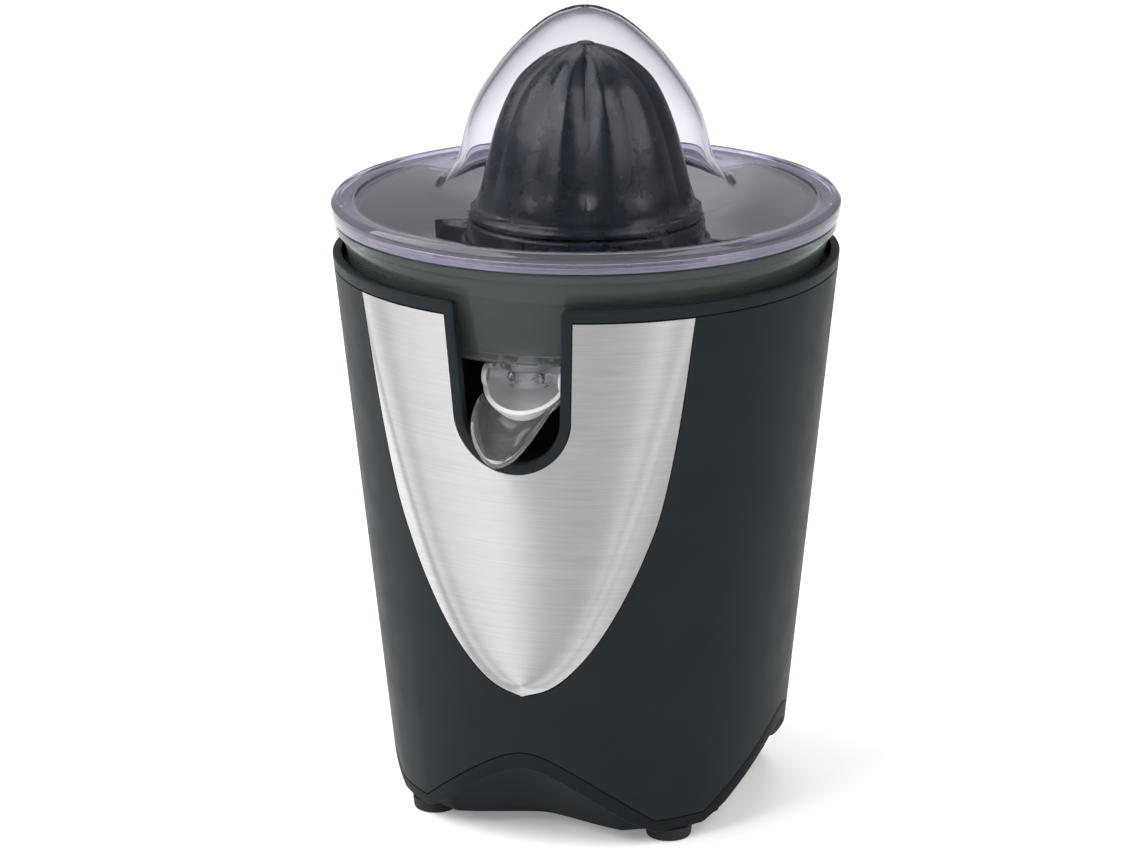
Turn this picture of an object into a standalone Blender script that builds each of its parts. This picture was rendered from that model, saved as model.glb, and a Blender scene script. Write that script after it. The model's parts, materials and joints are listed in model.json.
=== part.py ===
"""Citrus press juicer, as an assembly of separate parts (Blender 4.5, metres, +Z up, front towards -Y).

Sizes below are in millimetres. Heights are measured from the surface that the juicer stands on, and
radii from its vertical drive axis. Neighbouring parts keep GAP between them.
"""

import math

import bmesh
import bpy
from mathutils import Matrix, Vector

MM = 0.001
GAP = 0.3

# ---- body: one straight cone from the base to the top ring
BODY_R = 78.0
BODY_TOP = 175.5
BODY_TAPER = 0.099
SHELL_WALL = 2.6
RING_BOTTOM = 171.5
RING_INNER_R = 75.2
BODY_STEPS = 48
TURN_STEPS = 36
FINE_STEPS = 16
SCREW_STEPS = 8
OFF_EDGE_TURN = 0.07

# ---- base: four arches between four lands, which carry the feet
LAND_Z = 8.1
ARCH_PEAK = 31.8
ARCH_SLOPE = 0.8
ARCH_ROUND_DEG = 8.3
BASE_Z = 4.3
BASE_FLOOR_Z = 6.5
STRIP_LAND = LAND_Z - BASE_Z
STRIP_ARCH = 5.6
STRIP_DEPTH = 2.4
RECESS_R = 43.5
RECESS_LAND_R = 57.5
FOOT_R = 7.3
FOOT_CIRCLE_R = 53.9

# ---- front: steel panel, and a U slot with its frame
PANEL_OUTLINE = [(171.2, 56.6), (137.0, 50.6), (112.0, 44.6), (97.0, 38.8), (83.0, 31.9),
                 (70.0, 24.0), (60.0, 15.8), (54.0, 8.4), (51.0, 0.0)]
PANEL_SHEET = 0.8
PANEL_COLUMNS = 12
SLOT_TOP_HALF = 16.6
SLOT_HALF = 14.9
SLOT_ARC_Z = 141.5
FRAME_WIDTH = 3.1
FRAME_DEPTH = 3.4

# ---- top deck, which carries the bowl, with the chute pocket behind the slot
DECK_FLOOR_TOP = 155.6
DECK_SHEET = 1.8
CHUTE_HALF = 20.0
CHUTE_BACK = 42.0
CHUTE_BOTTOM = 124.0

# ---- bowl
BOWL_FLOOR_Z = 155.9
BOWL_SHEET = 2.2
BOWL_RIM_Z = 185.6
CHIMNEY_R = 13.2
OUTLET_R = 55.3
TUBE_R = 6.3
TUBE_END_Z = 146.2
TUBE_WALL = 1.4
BOSS_R = 8.0
BOSS_AT_R = 57.5
BOSS_END_Z = 152.2

# ---- spout: a bowl-shaped valve cup and a clear lip, hinged on two stub pins of the outlet tube
HINGE_R = 59.5
HINGE_Z = 149.5
CUP_R = 13.05
CUP_WALL = 1.4
RIM_TILT_DEG = 37.0
RIM_ABOVE = -1.2
RIM_BACK_Z = 4.4
EAR_R = 3.4
BALL_STEPS = 20
PIN_R = 1.5
PIN_HALF = 11.8
LIP_TIP_R = 88.0
LIP_TIP_Z = 131.2
LIP_HALF = 12.2
LIP_TIP_HALF = 3.2
LIP_SHEET = 1.5
LIP_START = 1.8
LIP_EDGE = (19.5, -6.0)
LIP_KEEL = (20.0, -19.5)

# ---- strainer, sweeper, hub and cone
STRAINER_FLOOR_TOP = 172.3
STRAINER_SHEET = 1.8
STRAINER_SLOTS = [-48 + 12 * i for i in range(9)] + [150 + 12 * i for i in range(6)]
SWEEPER_R = 38.2
HUB_R = 36.7
HUB_BOTTOM = 175.6
CONE_BASE_Z = 187.0
CONE_TIP_Z = 238.9
CONE_RIBS = 12
CONE_STEPS = 48

# ---- lid
LID_R = 78.2
LID_RIM_LOW = 186.1
LID_TOP = 249.8

# ---- drive
SHAFT_FLATS_R = 4.6
SHAFT_TOP = 206.0
SPRING_R = 6.2
SPRING_TURNS = 3
SPRING_LOW = 135.0
SPRING_HIGH = 143.6
TRAY_Z = 106.0
TRAY_SHEET = 3.0
TRAY_R = 64.0
GEAR_MODULE = 1.0
TOOTH_FILL = 0.42
OUTPUT_TEETH = 48
WHEEL_B_TEETH = 36
WHEEL_A_TEETH = 40
PINION_TEETH = 12
GEAR_B_AT = (0.0, 30.0)
GEAR_A_AT = (-24.0, 30.0)
MOTOR_AT = (0.0, 20.0)
STACK_Z = 58.0
STACK_HEIGHT = 22.0
ROTOR_R = 12.7
MOTOR_SCREW_X = 21.0
FAN_BLADES = 9
COVER_CENTRE = (-2.0, 9.0)
COVER_R = 40.0
COVER_Z = 134.6
COVER_POSTS = [(30.0, 0.0), (-22.0, -20.0), (24.0, 32.0)]
DECK_POSTS = [(50.0, 14.0), (12.0, 53.0), (-51.0, -2.0), (32.0, -42.0)]
SWITCH_TOP = 99.6
GLAND_Z = 44.0

# The drive axis stands this far behind the middle of the footprint, because the lip sticks out in front.
AXIS_Y = (LIP_TIP_R - LID_R) / 2


# ---------------------------------------------------------------- shapes

def clear_scene():
    for old in list(bpy.data.objects):
        bpy.data.objects.remove(old, do_unlink=True)


def polar(radius, degrees, z=0.0):
    """A point at an azimuth measured from the front (-Y), turning towards +X."""
    angle = math.radians(degrees)
    return Vector((radius * math.sin(angle), -radius * math.cos(angle), z))


def circle(radius, steps, centre=(0.0, 0.0), turn=0.0):
    angles = (turn + 2 * math.pi * i / steps for i in range(steps))
    return [(centre[0] + radius * math.cos(a), centre[1] + radius * math.sin(a)) for a in angles]


def smooth_line(points, per_span):
    """A Catmull-Rom curve through the given (r, z) points."""
    curve = []
    ends = [points[0]] + list(points) + [points[-1]]
    for i in range(1, len(ends) - 2):
        p0, p1, p2, p3 = (Vector(ends[i + k]) for k in (-1, 0, 1, 2))
        for step in range(per_span):
            t = step / per_span
            curve.append(0.5 * ((2 * p1) + (p2 - p0) * t + (2 * p0 - 5 * p1 + 4 * p2 - p3) * t ** 2
                                + (3 * p1 - p0 - 3 * p2 + p3) * t ** 3))
    curve.append(Vector(points[-1]))
    return [(p[0], p[1]) for p in curve]


def finish_mesh(bm, name):
    """Turn a bmesh in millimetres into a closed, outward-facing mesh in metres."""
    bmesh.ops.recalc_face_normals(bm, faces=bm.faces)
    bmesh.ops.scale(bm, vec=(MM, MM, MM), verts=bm.verts)
    mesh = bpy.data.meshes.new(name)
    bm.to_mesh(mesh)
    bm.free()
    mesh.shade_smooth()
    mesh.set_sharp_from_angle(angle=math.radians(32))
    return mesh


def swept(name, profile, steps):
    """A body whose closed (r, z) profile may change with the azimuth in degrees."""
    bm = bmesh.new()
    columns = []
    poles = {}
    for i in range(steps):
        degrees = 360 * i / steps
        column = []
        for j, (radius, z) in enumerate(profile(degrees)):
            if radius > 1e-6:
                column.append(bm.verts.new(polar(radius, degrees, z)))
            else:
                if j not in poles:
                    poles[j] = bm.verts.new((0, 0, z))
                column.append(poles[j])
        columns.append(column)
    count = len(columns[0])
    for i in range(steps):
        here, there = columns[i], columns[(i + 1) % steps]
        for j in range(count):
            k = (j + 1) % count
            corners = []
            for vert in (here[j], here[k], there[k], there[j]):
                if vert not in corners:
                    corners.append(vert)
            if len(corners) > 2:
                bm.faces.new(corners)
    return finish_mesh(bm, name)


def turned(name, points, steps=TURN_STEPS):
    return swept(name, lambda degrees: points, steps)


def loft(name, sections, cap=True):
    """A closed body through loops of points; the ends are capped, or joined to each other."""
    bm = bmesh.new()
    rings = [[bm.verts.new(p) for p in section] for section in sections]
    pairs = list(zip(rings, rings[1:]))
    if not cap:
        pairs.append((rings[-1], rings[0]))
    for lower, upper in pairs:
        count = len(lower)
        for j in range(count):
            k = (j + 1) % count
            bm.faces.new((lower[j], lower[k], upper[k], upper[j]))
    if cap:
        bm.faces.new(rings[0])
        bm.faces.new(rings[-1])
    return finish_mesh(bm, name)


def prism(name, outline, low, high):
    """An (x, y) outline carried from one height to another."""
    return loft(name, [[(x, y, z) for x, y in outline] for z in (low, high)])


def box(name, low, high):
    (x0, y0, z0), (x1, y1, z1) = low, high
    return prism(name, [(x0, y0), (x1, y0), (x1, y1), (x0, y1)], z0, z1)


def cylinder(name, radius, low, high, centre=(0.0, 0.0), steps=24):
    """A round bar along Z, turned a little so that no corner falls on an edge of what it is cut from."""
    return prism(name, circle(radius, steps, centre, OFF_EDGE_TURN), low, high)


def cross_bar(name, radius, half, y, z, steps=16):
    """A round bar along X."""
    ends = [[(x, y + a, z + b) for a, b in circle(radius, steps)] for x in (-half, half)]
    return loft(name, ends)


def rear_bar(name, radius, y0, y1, z, steps=24):
    """A round bar along Y."""
    return loft(name, [[(a, y, z + b) for a, b in circle(radius, steps)] for y in (y0, y1)])


def grid_sheet(name, outer, inner):
    """A sheet between two equal grids of points, closed all round."""
    bm = bmesh.new()
    rows, cols = len(outer), len(outer[0])
    top = [[bm.verts.new(p) for p in row] for row in outer]
    low = [[bm.verts.new(p) for p in row] for row in inner]
    for grid in (top, low):
        for i in range(rows - 1):
            for j in range(cols - 1):
                bm.faces.new((grid[i][j], grid[i + 1][j], grid[i + 1][j + 1], grid[i][j + 1]))
    edge = [(0, j) for j in range(cols)] + [(i, cols - 1) for i in range(1, rows)]
    edge += [(rows - 1, j) for j in range(cols - 2, -1, -1)] + [(i, 0) for i in range(rows - 2, 0, -1)]
    for (a, b), (c, d) in zip(edge, edge[1:] + edge[:1]):
        bm.faces.new((top[a][b], top[c][d], low[c][d], low[a][b]))
    return finish_mesh(bm, name)


# ---------------------------------------------------------------- objects and materials

def principled(name, colour, roughness, metallic=0.0, transmission=0.0):
    material = bpy.data.materials.new(name)
    material.use_nodes = True
    shader = material.node_tree.nodes["Principled BSDF"]
    shader.inputs["Base Color"].default_value = (*colour, 1.0)
    shader.inputs["Roughness"].default_value = roughness
    shader.inputs["Metallic"].default_value = metallic
    shader.inputs["Transmission Weight"].default_value = transmission
    material.diffuse_color = (*colour, 1.0)
    return material


FINISHES = {
    "shell_plastic": ((0.045, 0.056, 0.066), 0.38),
    "dark_plastic": ((0.012, 0.015, 0.018), 0.5),
    "reamer_plastic": ((0.014, 0.019, 0.026), 0.28),
    "smoked_plastic": ((0.17, 0.20, 0.20), 0.12, 0.0, 0.7),
    "clear_plastic": ((0.80, 0.78, 0.84), 0.06, 0.0, 0.9),
    "white_silicone": ((0.80, 0.80, 0.82), 0.35),
    "brushed_steel": ((0.72, 0.72, 0.73), 0.32, 1.0),
    "foot_rubber": ((0.02, 0.02, 0.02), 0.8),
    "steel": ((0.55, 0.56, 0.58), 0.3, 1.0),
    "laminated_steel": ((0.30, 0.31, 0.33), 0.5, 1.0),
    "copper_wire": ((0.72, 0.32, 0.14), 0.35, 1.0),
    "sintered_bronze": ((0.55, 0.36, 0.18), 0.45, 1.0),
    "natural_nylon": ((0.80, 0.77, 0.68), 0.45),
    "white_nylon": ((0.82, 0.82, 0.80), 0.5),
    "frame_plastic": ((0.10, 0.11, 0.12), 0.55),
}


def part(name, mesh, finish, parent, at=(0.0, 0.0, 0.0)):
    """One named object with its own material, placed under its parent."""
    obj = bpy.data.objects.new(name, mesh)
    bpy.context.scene.collection.objects.link(obj)
    obj.data.materials.append(principled(name + "_" + finish, *FINISHES[finish]))
    obj.parent = parent
    obj.location = Vector(at) * MM
    return obj


def empty(name, at=(0.0, 0.0, 0.0), parent=None):
    obj = bpy.data.objects.new(name, None)
    bpy.context.scene.collection.objects.link(obj)
    obj.empty_display_size = 0.02
    obj.parent = parent
    obj.location = Vector(at) * MM
    return obj


def combine(target, tool_mesh, operation):
    """Boolean with a hidden tool under the same parent."""
    tool = bpy.data.objects.new("tool_for_" + target.name, tool_mesh)
    bpy.context.scene.collection.objects.link(tool)
    tool.parent = target.parent
    tool.location = target.location
    tool.hide_render = True
    tool.display_type = "WIRE"
    step = target.modifiers.new(operation.lower(), "BOOLEAN")
    step.operation = operation
    step.solver = "EXACT"
    step.object = tool


def cut(target, *meshes):
    for mesh in meshes:
        combine(target, mesh, "DIFFERENCE")


def add(target, *meshes):
    for mesh in meshes:
        combine(target, mesh, "UNION")


def bevel(obj, width, segments=2, angle=40):
    step = obj.modifiers.new("bevel", "BEVEL")
    step.width = width * MM
    step.segments = segments
    step.limit_method = "ANGLE"
    step.angle_limit = math.radians(angle)


# ---------------------------------------------------------------- body outline

def body_r(z):
    return BODY_R - BODY_TAPER * (BODY_TOP - z)


def off_arch(degrees):
    """Degrees away from the middle of the nearest of the four arches."""
    return abs((degrees + 45) % 90 - 45)


def parting_z(degrees):
    """Height of the line between the shell and the base, which follows the arches."""
    away = off_arch(degrees)
    drop = ARCH_SLOPE * (math.hypot(away, ARCH_ROUND_DEG) - ARCH_ROUND_DEG)
    return max(ARCH_PEAK - drop, LAND_Z)


def strip_height(degrees):
    share = min((parting_z(degrees) - LAND_Z) / 6.0, 1.0)
    return STRIP_LAND + (STRIP_ARCH - STRIP_LAND) * share


def recess_r(degrees):
    share = min(off_arch(degrees) / 28.0, 1.0)
    return RECESS_R + (RECESS_LAND_R - RECESS_R) * share ** 1.7


def on_body(x, z, depth=0.0):
    """A point of the body's cone at a sideways distance x, moved in by depth."""
    radius = body_r(z) - depth
    return Vector((x, -math.sqrt(radius ** 2 - x ** 2), z))


def slot_half(z, margin=0.0):
    share = max(z - SLOT_ARC_Z, 0.0) / (BODY_TOP - SLOT_ARC_Z)
    return SLOT_HALF + (SLOT_TOP_HALF - SLOT_HALF) * share + margin


def slot_outline(margin, top):
    """The U outline (x, z) of the slot, widened by margin, from top left round to top right."""
    arc = [(-(SLOT_HALF + margin) * math.cos(math.pi * i / 16),
            SLOT_ARC_Z - (SLOT_HALF + margin) * math.sin(math.pi * i / 16)) for i in range(17)]
    left = [(-slot_half(z, margin), z) for z in (top, (top + SLOT_ARC_Z) / 2)]
    right = [(-x, z) for x, z in reversed(left)]
    return left + arc + right


def slot_tool(name, margin, top, y_back):
    """A prism through the front wall in the shape of the slot."""
    outline = slot_outline(margin, top)
    return loft(name, [[(x, y, z) for x, z in outline] for y in (-BODY_R - 8, y_back)])


# ---------------------------------------------------------------- base

def base_profile(degrees):
    line = parting_z(degrees) - GAP / 2
    low = parting_z(degrees) - strip_height(degrees)
    inner = body_r(line) - SHELL_WALL - GAP * 1.5
    foot = recess_r(degrees)
    return [(body_r(line), line), (body_r(low), low), (body_r(low) - STRIP_DEPTH, low),
            (foot, BASE_Z), (0.0, BASE_Z), (0.0, BASE_FLOOR_Z), (foot - 2.5, BASE_FLOOR_Z),
            (body_r(low) - STRIP_DEPTH - 2.6, low + 2.4), (inner - 1.6, line + 2.6),
            (inner, line + 2.6), (inner, line)]


def make_base(parent):
    base = part("base_cover", swept("base_cover", base_profile, BODY_STEPS), "dark_plastic", parent)
    for x in (-15.0, -7.5, 0.0, 7.5, 15.0):
        cut(base, box("vent", (x - 1.5, -18, BASE_Z - 1), (x + 1.5, 6, BASE_FLOOR_Z + 1)))
    for i, side in enumerate(("front_right", "rear_right", "rear_left", "front_left")):
        at = polar(FOOT_CIRCLE_R, 45 + 90 * i)
        foot_outline = [(0, 0), (FOOT_R - 0.8, 0), (FOOT_R, 0.8), (FOOT_R, BASE_Z - GAP), (0, BASE_Z - GAP)]
        part("foot_" + side, turned("foot", foot_outline, FINE_STEPS), "foot_rubber", parent, at)
        cut(base, cylinder("screw_hole", 1.9, BASE_Z - 1, 14, at[:2], 12))
        screw = [(0, BASE_Z), (1.6, BASE_Z), (1.6, 22), (0, 22)]
        part("base_screw_" + side, turned("base_screw", screw, SCREW_STEPS), "steel", parent, at)


# ---------------------------------------------------------------- shell, panel and ring

def shell_profile(degrees):
    low = parting_z(degrees) + GAP / 2
    high = RING_BOTTOM - GAP / 2
    return [(body_r(low), low), (body_r(low) - SHELL_WALL, low),
            (body_r(high) - SHELL_WALL, high), (body_r(high), high)]


def panel_grid(depth, margin):
    """Rows of points on the cone inside the panel's outline, from its top to its tip."""
    rows = []
    for z, half in smooth_line(PANEL_OUTLINE, 2):
        half = max(half + margin, 0.6)
        z = z - margin if z < 60 else z
        radius = body_r(z) - depth
        spread = half / body_r(z)
        angles = [spread * (2 * j / PANEL_COLUMNS - 1) for j in range(PANEL_COLUMNS + 1)]
        rows.append([Vector((radius * math.sin(a), -radius * math.cos(a), z)) for a in angles])
    return rows


def make_shell(parent):
    shell = part("outer_shell", swept("outer_shell", shell_profile, BODY_STEPS), "shell_plastic", parent)
    for i in range(4):
        at = polar(FOOT_CIRCLE_R, 45 + 90 * i)
        rib = polar(FOOT_CIRCLE_R + 7.3, 45 + 90 * i)
        side = polar(1.2, 135 + 90 * i)
        outline = [(at + side)[:2], (rib + side)[:2], (rib - side)[:2], (at - side)[:2]]
        add(shell, prism("rib", outline, 14, 34), cylinder("post", 4.2, 12, 36, at[:2], 16))
        cut(shell, cylinder("post_bore", 1.9, 11, 24, at[:2], 12))
    recess = grid_sheet("recess", panel_grid(-3.0, GAP), panel_grid(PANEL_SHEET + GAP, GAP))
    cut(shell, recess)
    cut(shell, slot_tool("slot", FRAME_WIDTH + GAP, BODY_TOP + 4, -50))
    cut(shell, rear_bar("gland_hole", 5.4, 50, 80, GLAND_Z))

    panel = part("steel_front_panel", grid_sheet("panel", panel_grid(0.0, 0.0), panel_grid(PANEL_SHEET, 0.0)),
                 "brushed_steel", parent)
    cut(panel, slot_tool("panel_slot", FRAME_WIDTH + GAP, BODY_TOP + 4, -50))


def make_ring(parent):
    low, high = RING_BOTTOM + GAP / 2, BODY_TOP
    outline = [(body_r(low), low), (BODY_R - 0.25, high - 1.5), (BODY_R - 0.8, high - 0.4),
               (BODY_R - 1.6, high), (RING_INNER_R + 0.6, high), (RING_INNER_R, high - 0.5),
               (RING_INNER_R, low)]
    ring = part("top_ring", turned("top_ring", outline, BODY_STEPS), "shell_plastic", parent)
    outline = slot_outline(FRAME_WIDTH, BODY_TOP - 1.0)
    layers = [[on_body(x, z, depth) for x, z in outline] for depth in (-0.2, FRAME_DEPTH)]
    add(ring, loft("frame", layers))
    cut(ring, slot_tool("slot_opening", 0.0, BODY_TOP + 4, -50))


# ---------------------------------------------------------------- deck

def make_deck(parent):
    floor = DECK_FLOOR_TOP - DECK_SHEET
    outer_low = body_r(floor) - SHELL_WALL - 0.5
    outer_high = body_r(RING_BOTTOM) - SHELL_WALL - 0.5
    top = RING_BOTTOM - GAP
    outline = [(8.4, 140.0), (10.8, 140.0), (10.8, floor), (outer_low, floor), (outer_high, top),
               (outer_high - 1.5, top), (outer_low - 1.5, DECK_FLOOR_TOP), (9.6, DECK_FLOOR_TOP),
               (9.6, 168.0), (5.6, 168.0), (5.6, 150.0), (8.4, 150.0)]
    deck = part("top_deck", turned("top_deck", outline), "dark_plastic", parent)
    wall = DECK_SHEET
    half = CHUTE_HALF + wall
    front = -(body_r(CHUTE_BOTTOM) - SHELL_WALL - 4.5)
    add(deck, box("chute", (-half, front, CHUTE_BOTTOM - wall),
                  (half, -CHUTE_BACK + wall, DECK_FLOOR_TOP - 0.4)))
    cut(deck, box("chute_room", (-CHUTE_HALF, -BODY_R, CHUTE_BOTTOM),
                  (CHUTE_HALF, -CHUTE_BACK, BODY_TOP)))
    for x, y in DECK_POSTS:
        add(deck, cylinder("deck_post", 4.2, TRAY_Z + TRAY_SHEET + GAP, floor + 0.5, (x, y), 16))
        cut(deck, cylinder("deck_bore", 1.8, TRAY_Z, TRAY_Z + 20, (x, y), 12))
    for i, (x, y) in enumerate(DECK_POSTS):
        screw = [(0, TRAY_Z - 2.3), (3.2, TRAY_Z - 2.3), (3.2, TRAY_Z - GAP), (1.5, TRAY_Z - GAP),
                 (1.5, TRAY_Z + 16), (0, TRAY_Z + 16)]
        part("deck_screw_%d" % (i + 1), turned("deck_screw", screw, SCREW_STEPS), "steel", parent, (x, y, 0))
    bush = [(5.0, 160.0), (5.3, 160.0), (5.3, 168.3), (7.4, 168.3), (7.4, 169.0), (5.0, 169.0)]
    part("shaft_bush", turned("shaft_bush", bush, FINE_STEPS), "sintered_bronze", parent)
    seal = [(5.1, 169.3), (8.4, 169.3), (8.4, 170.3), (6.6, 170.6), (6.6, 171.6), (5.1, 171.9)]
    part("shaft_seal", turned("shaft_seal", seal, FINE_STEPS), "foot_rubber", parent)


# ---------------------------------------------------------------- gearbox

def involute(angle):
    return math.tan(angle) - angle


def gear_outline(teeth, phase_deg):
    """Involute tooth outline with a tooth centred on the phase direction."""
    pitch = GEAR_MODULE * teeth / 2
    base = pitch * math.cos(math.radians(20))
    radii = [pitch - 1.15 * GEAR_MODULE, pitch + 0.85 * GEAR_MODULE]
    points = []
    for i in range(teeth):
        middle = math.radians(phase_deg) + 2 * math.pi * i / teeth
        flank = []
        for radius in radii:
            pressure = math.acos(min(base / radius, 1.0))
            half = math.pi * TOOTH_FILL / teeth + involute(math.radians(20)) - involute(pressure)
            flank.append((radius, half))
        side = [(radius, middle - half) for radius, half in flank]
        side += [(radius, middle + half) for radius, half in reversed(flank)]
        points += [(radius * math.cos(a), radius * math.sin(a)) for radius, a in side]
    return points


def direction(start, end):
    return math.degrees(math.atan2(end[1] - start[1], end[0] - start[0]))


def driving_phase(start, end):
    """A tooth points at the mating gear."""
    return direction(start, end)


def driven_phase(start, end, teeth):
    """A gap points at the mating gear."""
    return direction(start, end) + 180 / teeth


def make_gears(axis, axis_a, axis_b):
    teeth = gear_outline(OUTPUT_TEETH, driving_phase((0, 0), GEAR_B_AT))
    output = part("output_gear", prism("output_gear", teeth, 125.0, 130.0), "natural_nylon", axis)
    add(output, cylinder("hub", 8.0, 119.5, 134.0, steps=24),
        cylinder("journal", 6.0, 109.8, 120.5, steps=24))
    cut(output, prism("hex_bore", circle(SHAFT_FLATS_R + 0.4, 6), 108.0, 136.0))

    teeth = gear_outline(WHEEL_B_TEETH, driving_phase(GEAR_B_AT, GEAR_A_AT))
    gear_b = part("compound_gear_b", prism("wheel_b", teeth, 118.6, 123.0), "white_nylon", axis_b)
    teeth = gear_outline(PINION_TEETH, driven_phase(GEAR_B_AT, (0, 0), PINION_TEETH))
    add(gear_b, prism("pinion_b", teeth, 122.6, 131.0))
    cut(gear_b, cylinder("bore_b", 2.3, 117.0, 133.0, steps=16))

    teeth = gear_outline(WHEEL_A_TEETH, driving_phase(GEAR_A_AT, MOTOR_AT))
    gear_a = part("compound_gear_a", prism("wheel_a", teeth, 112.0, 116.6), "white_nylon", axis_a)
    teeth = gear_outline(PINION_TEETH, driven_phase(GEAR_A_AT, GEAR_B_AT, PINION_TEETH))
    add(gear_a, prism("pinion_a", teeth, 116.2, 124.0))
    cut(gear_a, cylinder("bore_a", 2.3, 110.0, 126.0, steps=16))


def make_gearbox(parent):
    top = TRAY_Z + TRAY_SHEET
    outline = [(6.4, TRAY_Z), (TRAY_R, TRAY_Z), (TRAY_R, top + 8), (TRAY_R - 1.8, top + 8),
               (TRAY_R - 1.8, top), (10.0, top), (10.0, 118.8), (6.4, 118.8)]
    tray = part("gearbox_tray", turned("tray", outline), "frame_plastic", parent)
    cut(tray, cylinder("motor_hole", 4.5, TRAY_Z - 1, top + 1, MOTOR_AT, 16))
    for x, y in COVER_POSTS:
        add(tray, cylinder("cover_post", 3.4, top - 0.5, COVER_Z - GAP, (x, y), 12))
        cut(tray, cylinder("cover_bore", 1.5, 120.0, COVER_Z + 1, (x, y), 10))
    for x, y in DECK_POSTS:
        cut(tray, cylinder("screw_hole", 1.9, TRAY_Z - 1, top + 1, (x, y), 12))
    for x in (-MOTOR_SCREW_X, MOTOR_SCREW_X):
        add(tray, cylinder("motor_post", 4.0, 95.0, TRAY_Z + 0.5, (x, MOTOR_AT[1]), 16))
        cut(tray, cylinder("motor_bore", 1.9, 94.0, TRAY_Z + 1.5, (x, MOTOR_AT[1]), 12))
    for x, y in (GEAR_A_AT, GEAR_B_AT):
        cut(tray, cylinder("pin_hole", 2.3, TRAY_Z + 0.8, top + 1, (x, y), 12))
    for x in (-8.7, 8.7):
        add(tray, box("switch_leg", (x - 1.3, -2.8, SWITCH_TOP + GAP), (x + 1.3, 2.8, TRAY_Z + 0.7)))

    plate = prism("gearbox_cover", circle(COVER_R, TURN_STEPS, COVER_CENTRE), COVER_Z, COVER_Z + 2.4)
    cover = part("gearbox_cover", plate, "frame_plastic", parent)
    cut(cover, cylinder("shaft_hole", 8.4, COVER_Z - 1, COVER_Z + 4, steps=24))
    for x, y in (GEAR_A_AT, GEAR_B_AT):
        cut(cover, cylinder("pin_hole", 2.3, COVER_Z - 1, COVER_Z + 1.8, (x, y), 12))
    for i, (x, y) in enumerate(COVER_POSTS):
        cut(cover, cylinder("screw_hole", 1.6, COVER_Z - 1, COVER_Z + 4, (x, y), 10))
        head = COVER_Z + 2.4 + GAP
        screw = [(0, 124.0), (1.2, 124.0), (1.2, head), (2.6, head), (2.6, head + 1.8), (0, head + 1.8)]
        part("cover_screw_%d" % (i + 1), turned("cover_screw", screw, SCREW_STEPS), "steel", parent,
             (x, y, 0))
    for name, (x, y) in (("gear_pin_a", GEAR_A_AT), ("gear_pin_b", GEAR_B_AT)):
        part(name, cylinder(name, 2.0, TRAY_Z + 1.1, COVER_Z + 1.5, steps=16), "steel", parent, (x, y, 0))


# ---------------------------------------------------------------- motor

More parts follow.
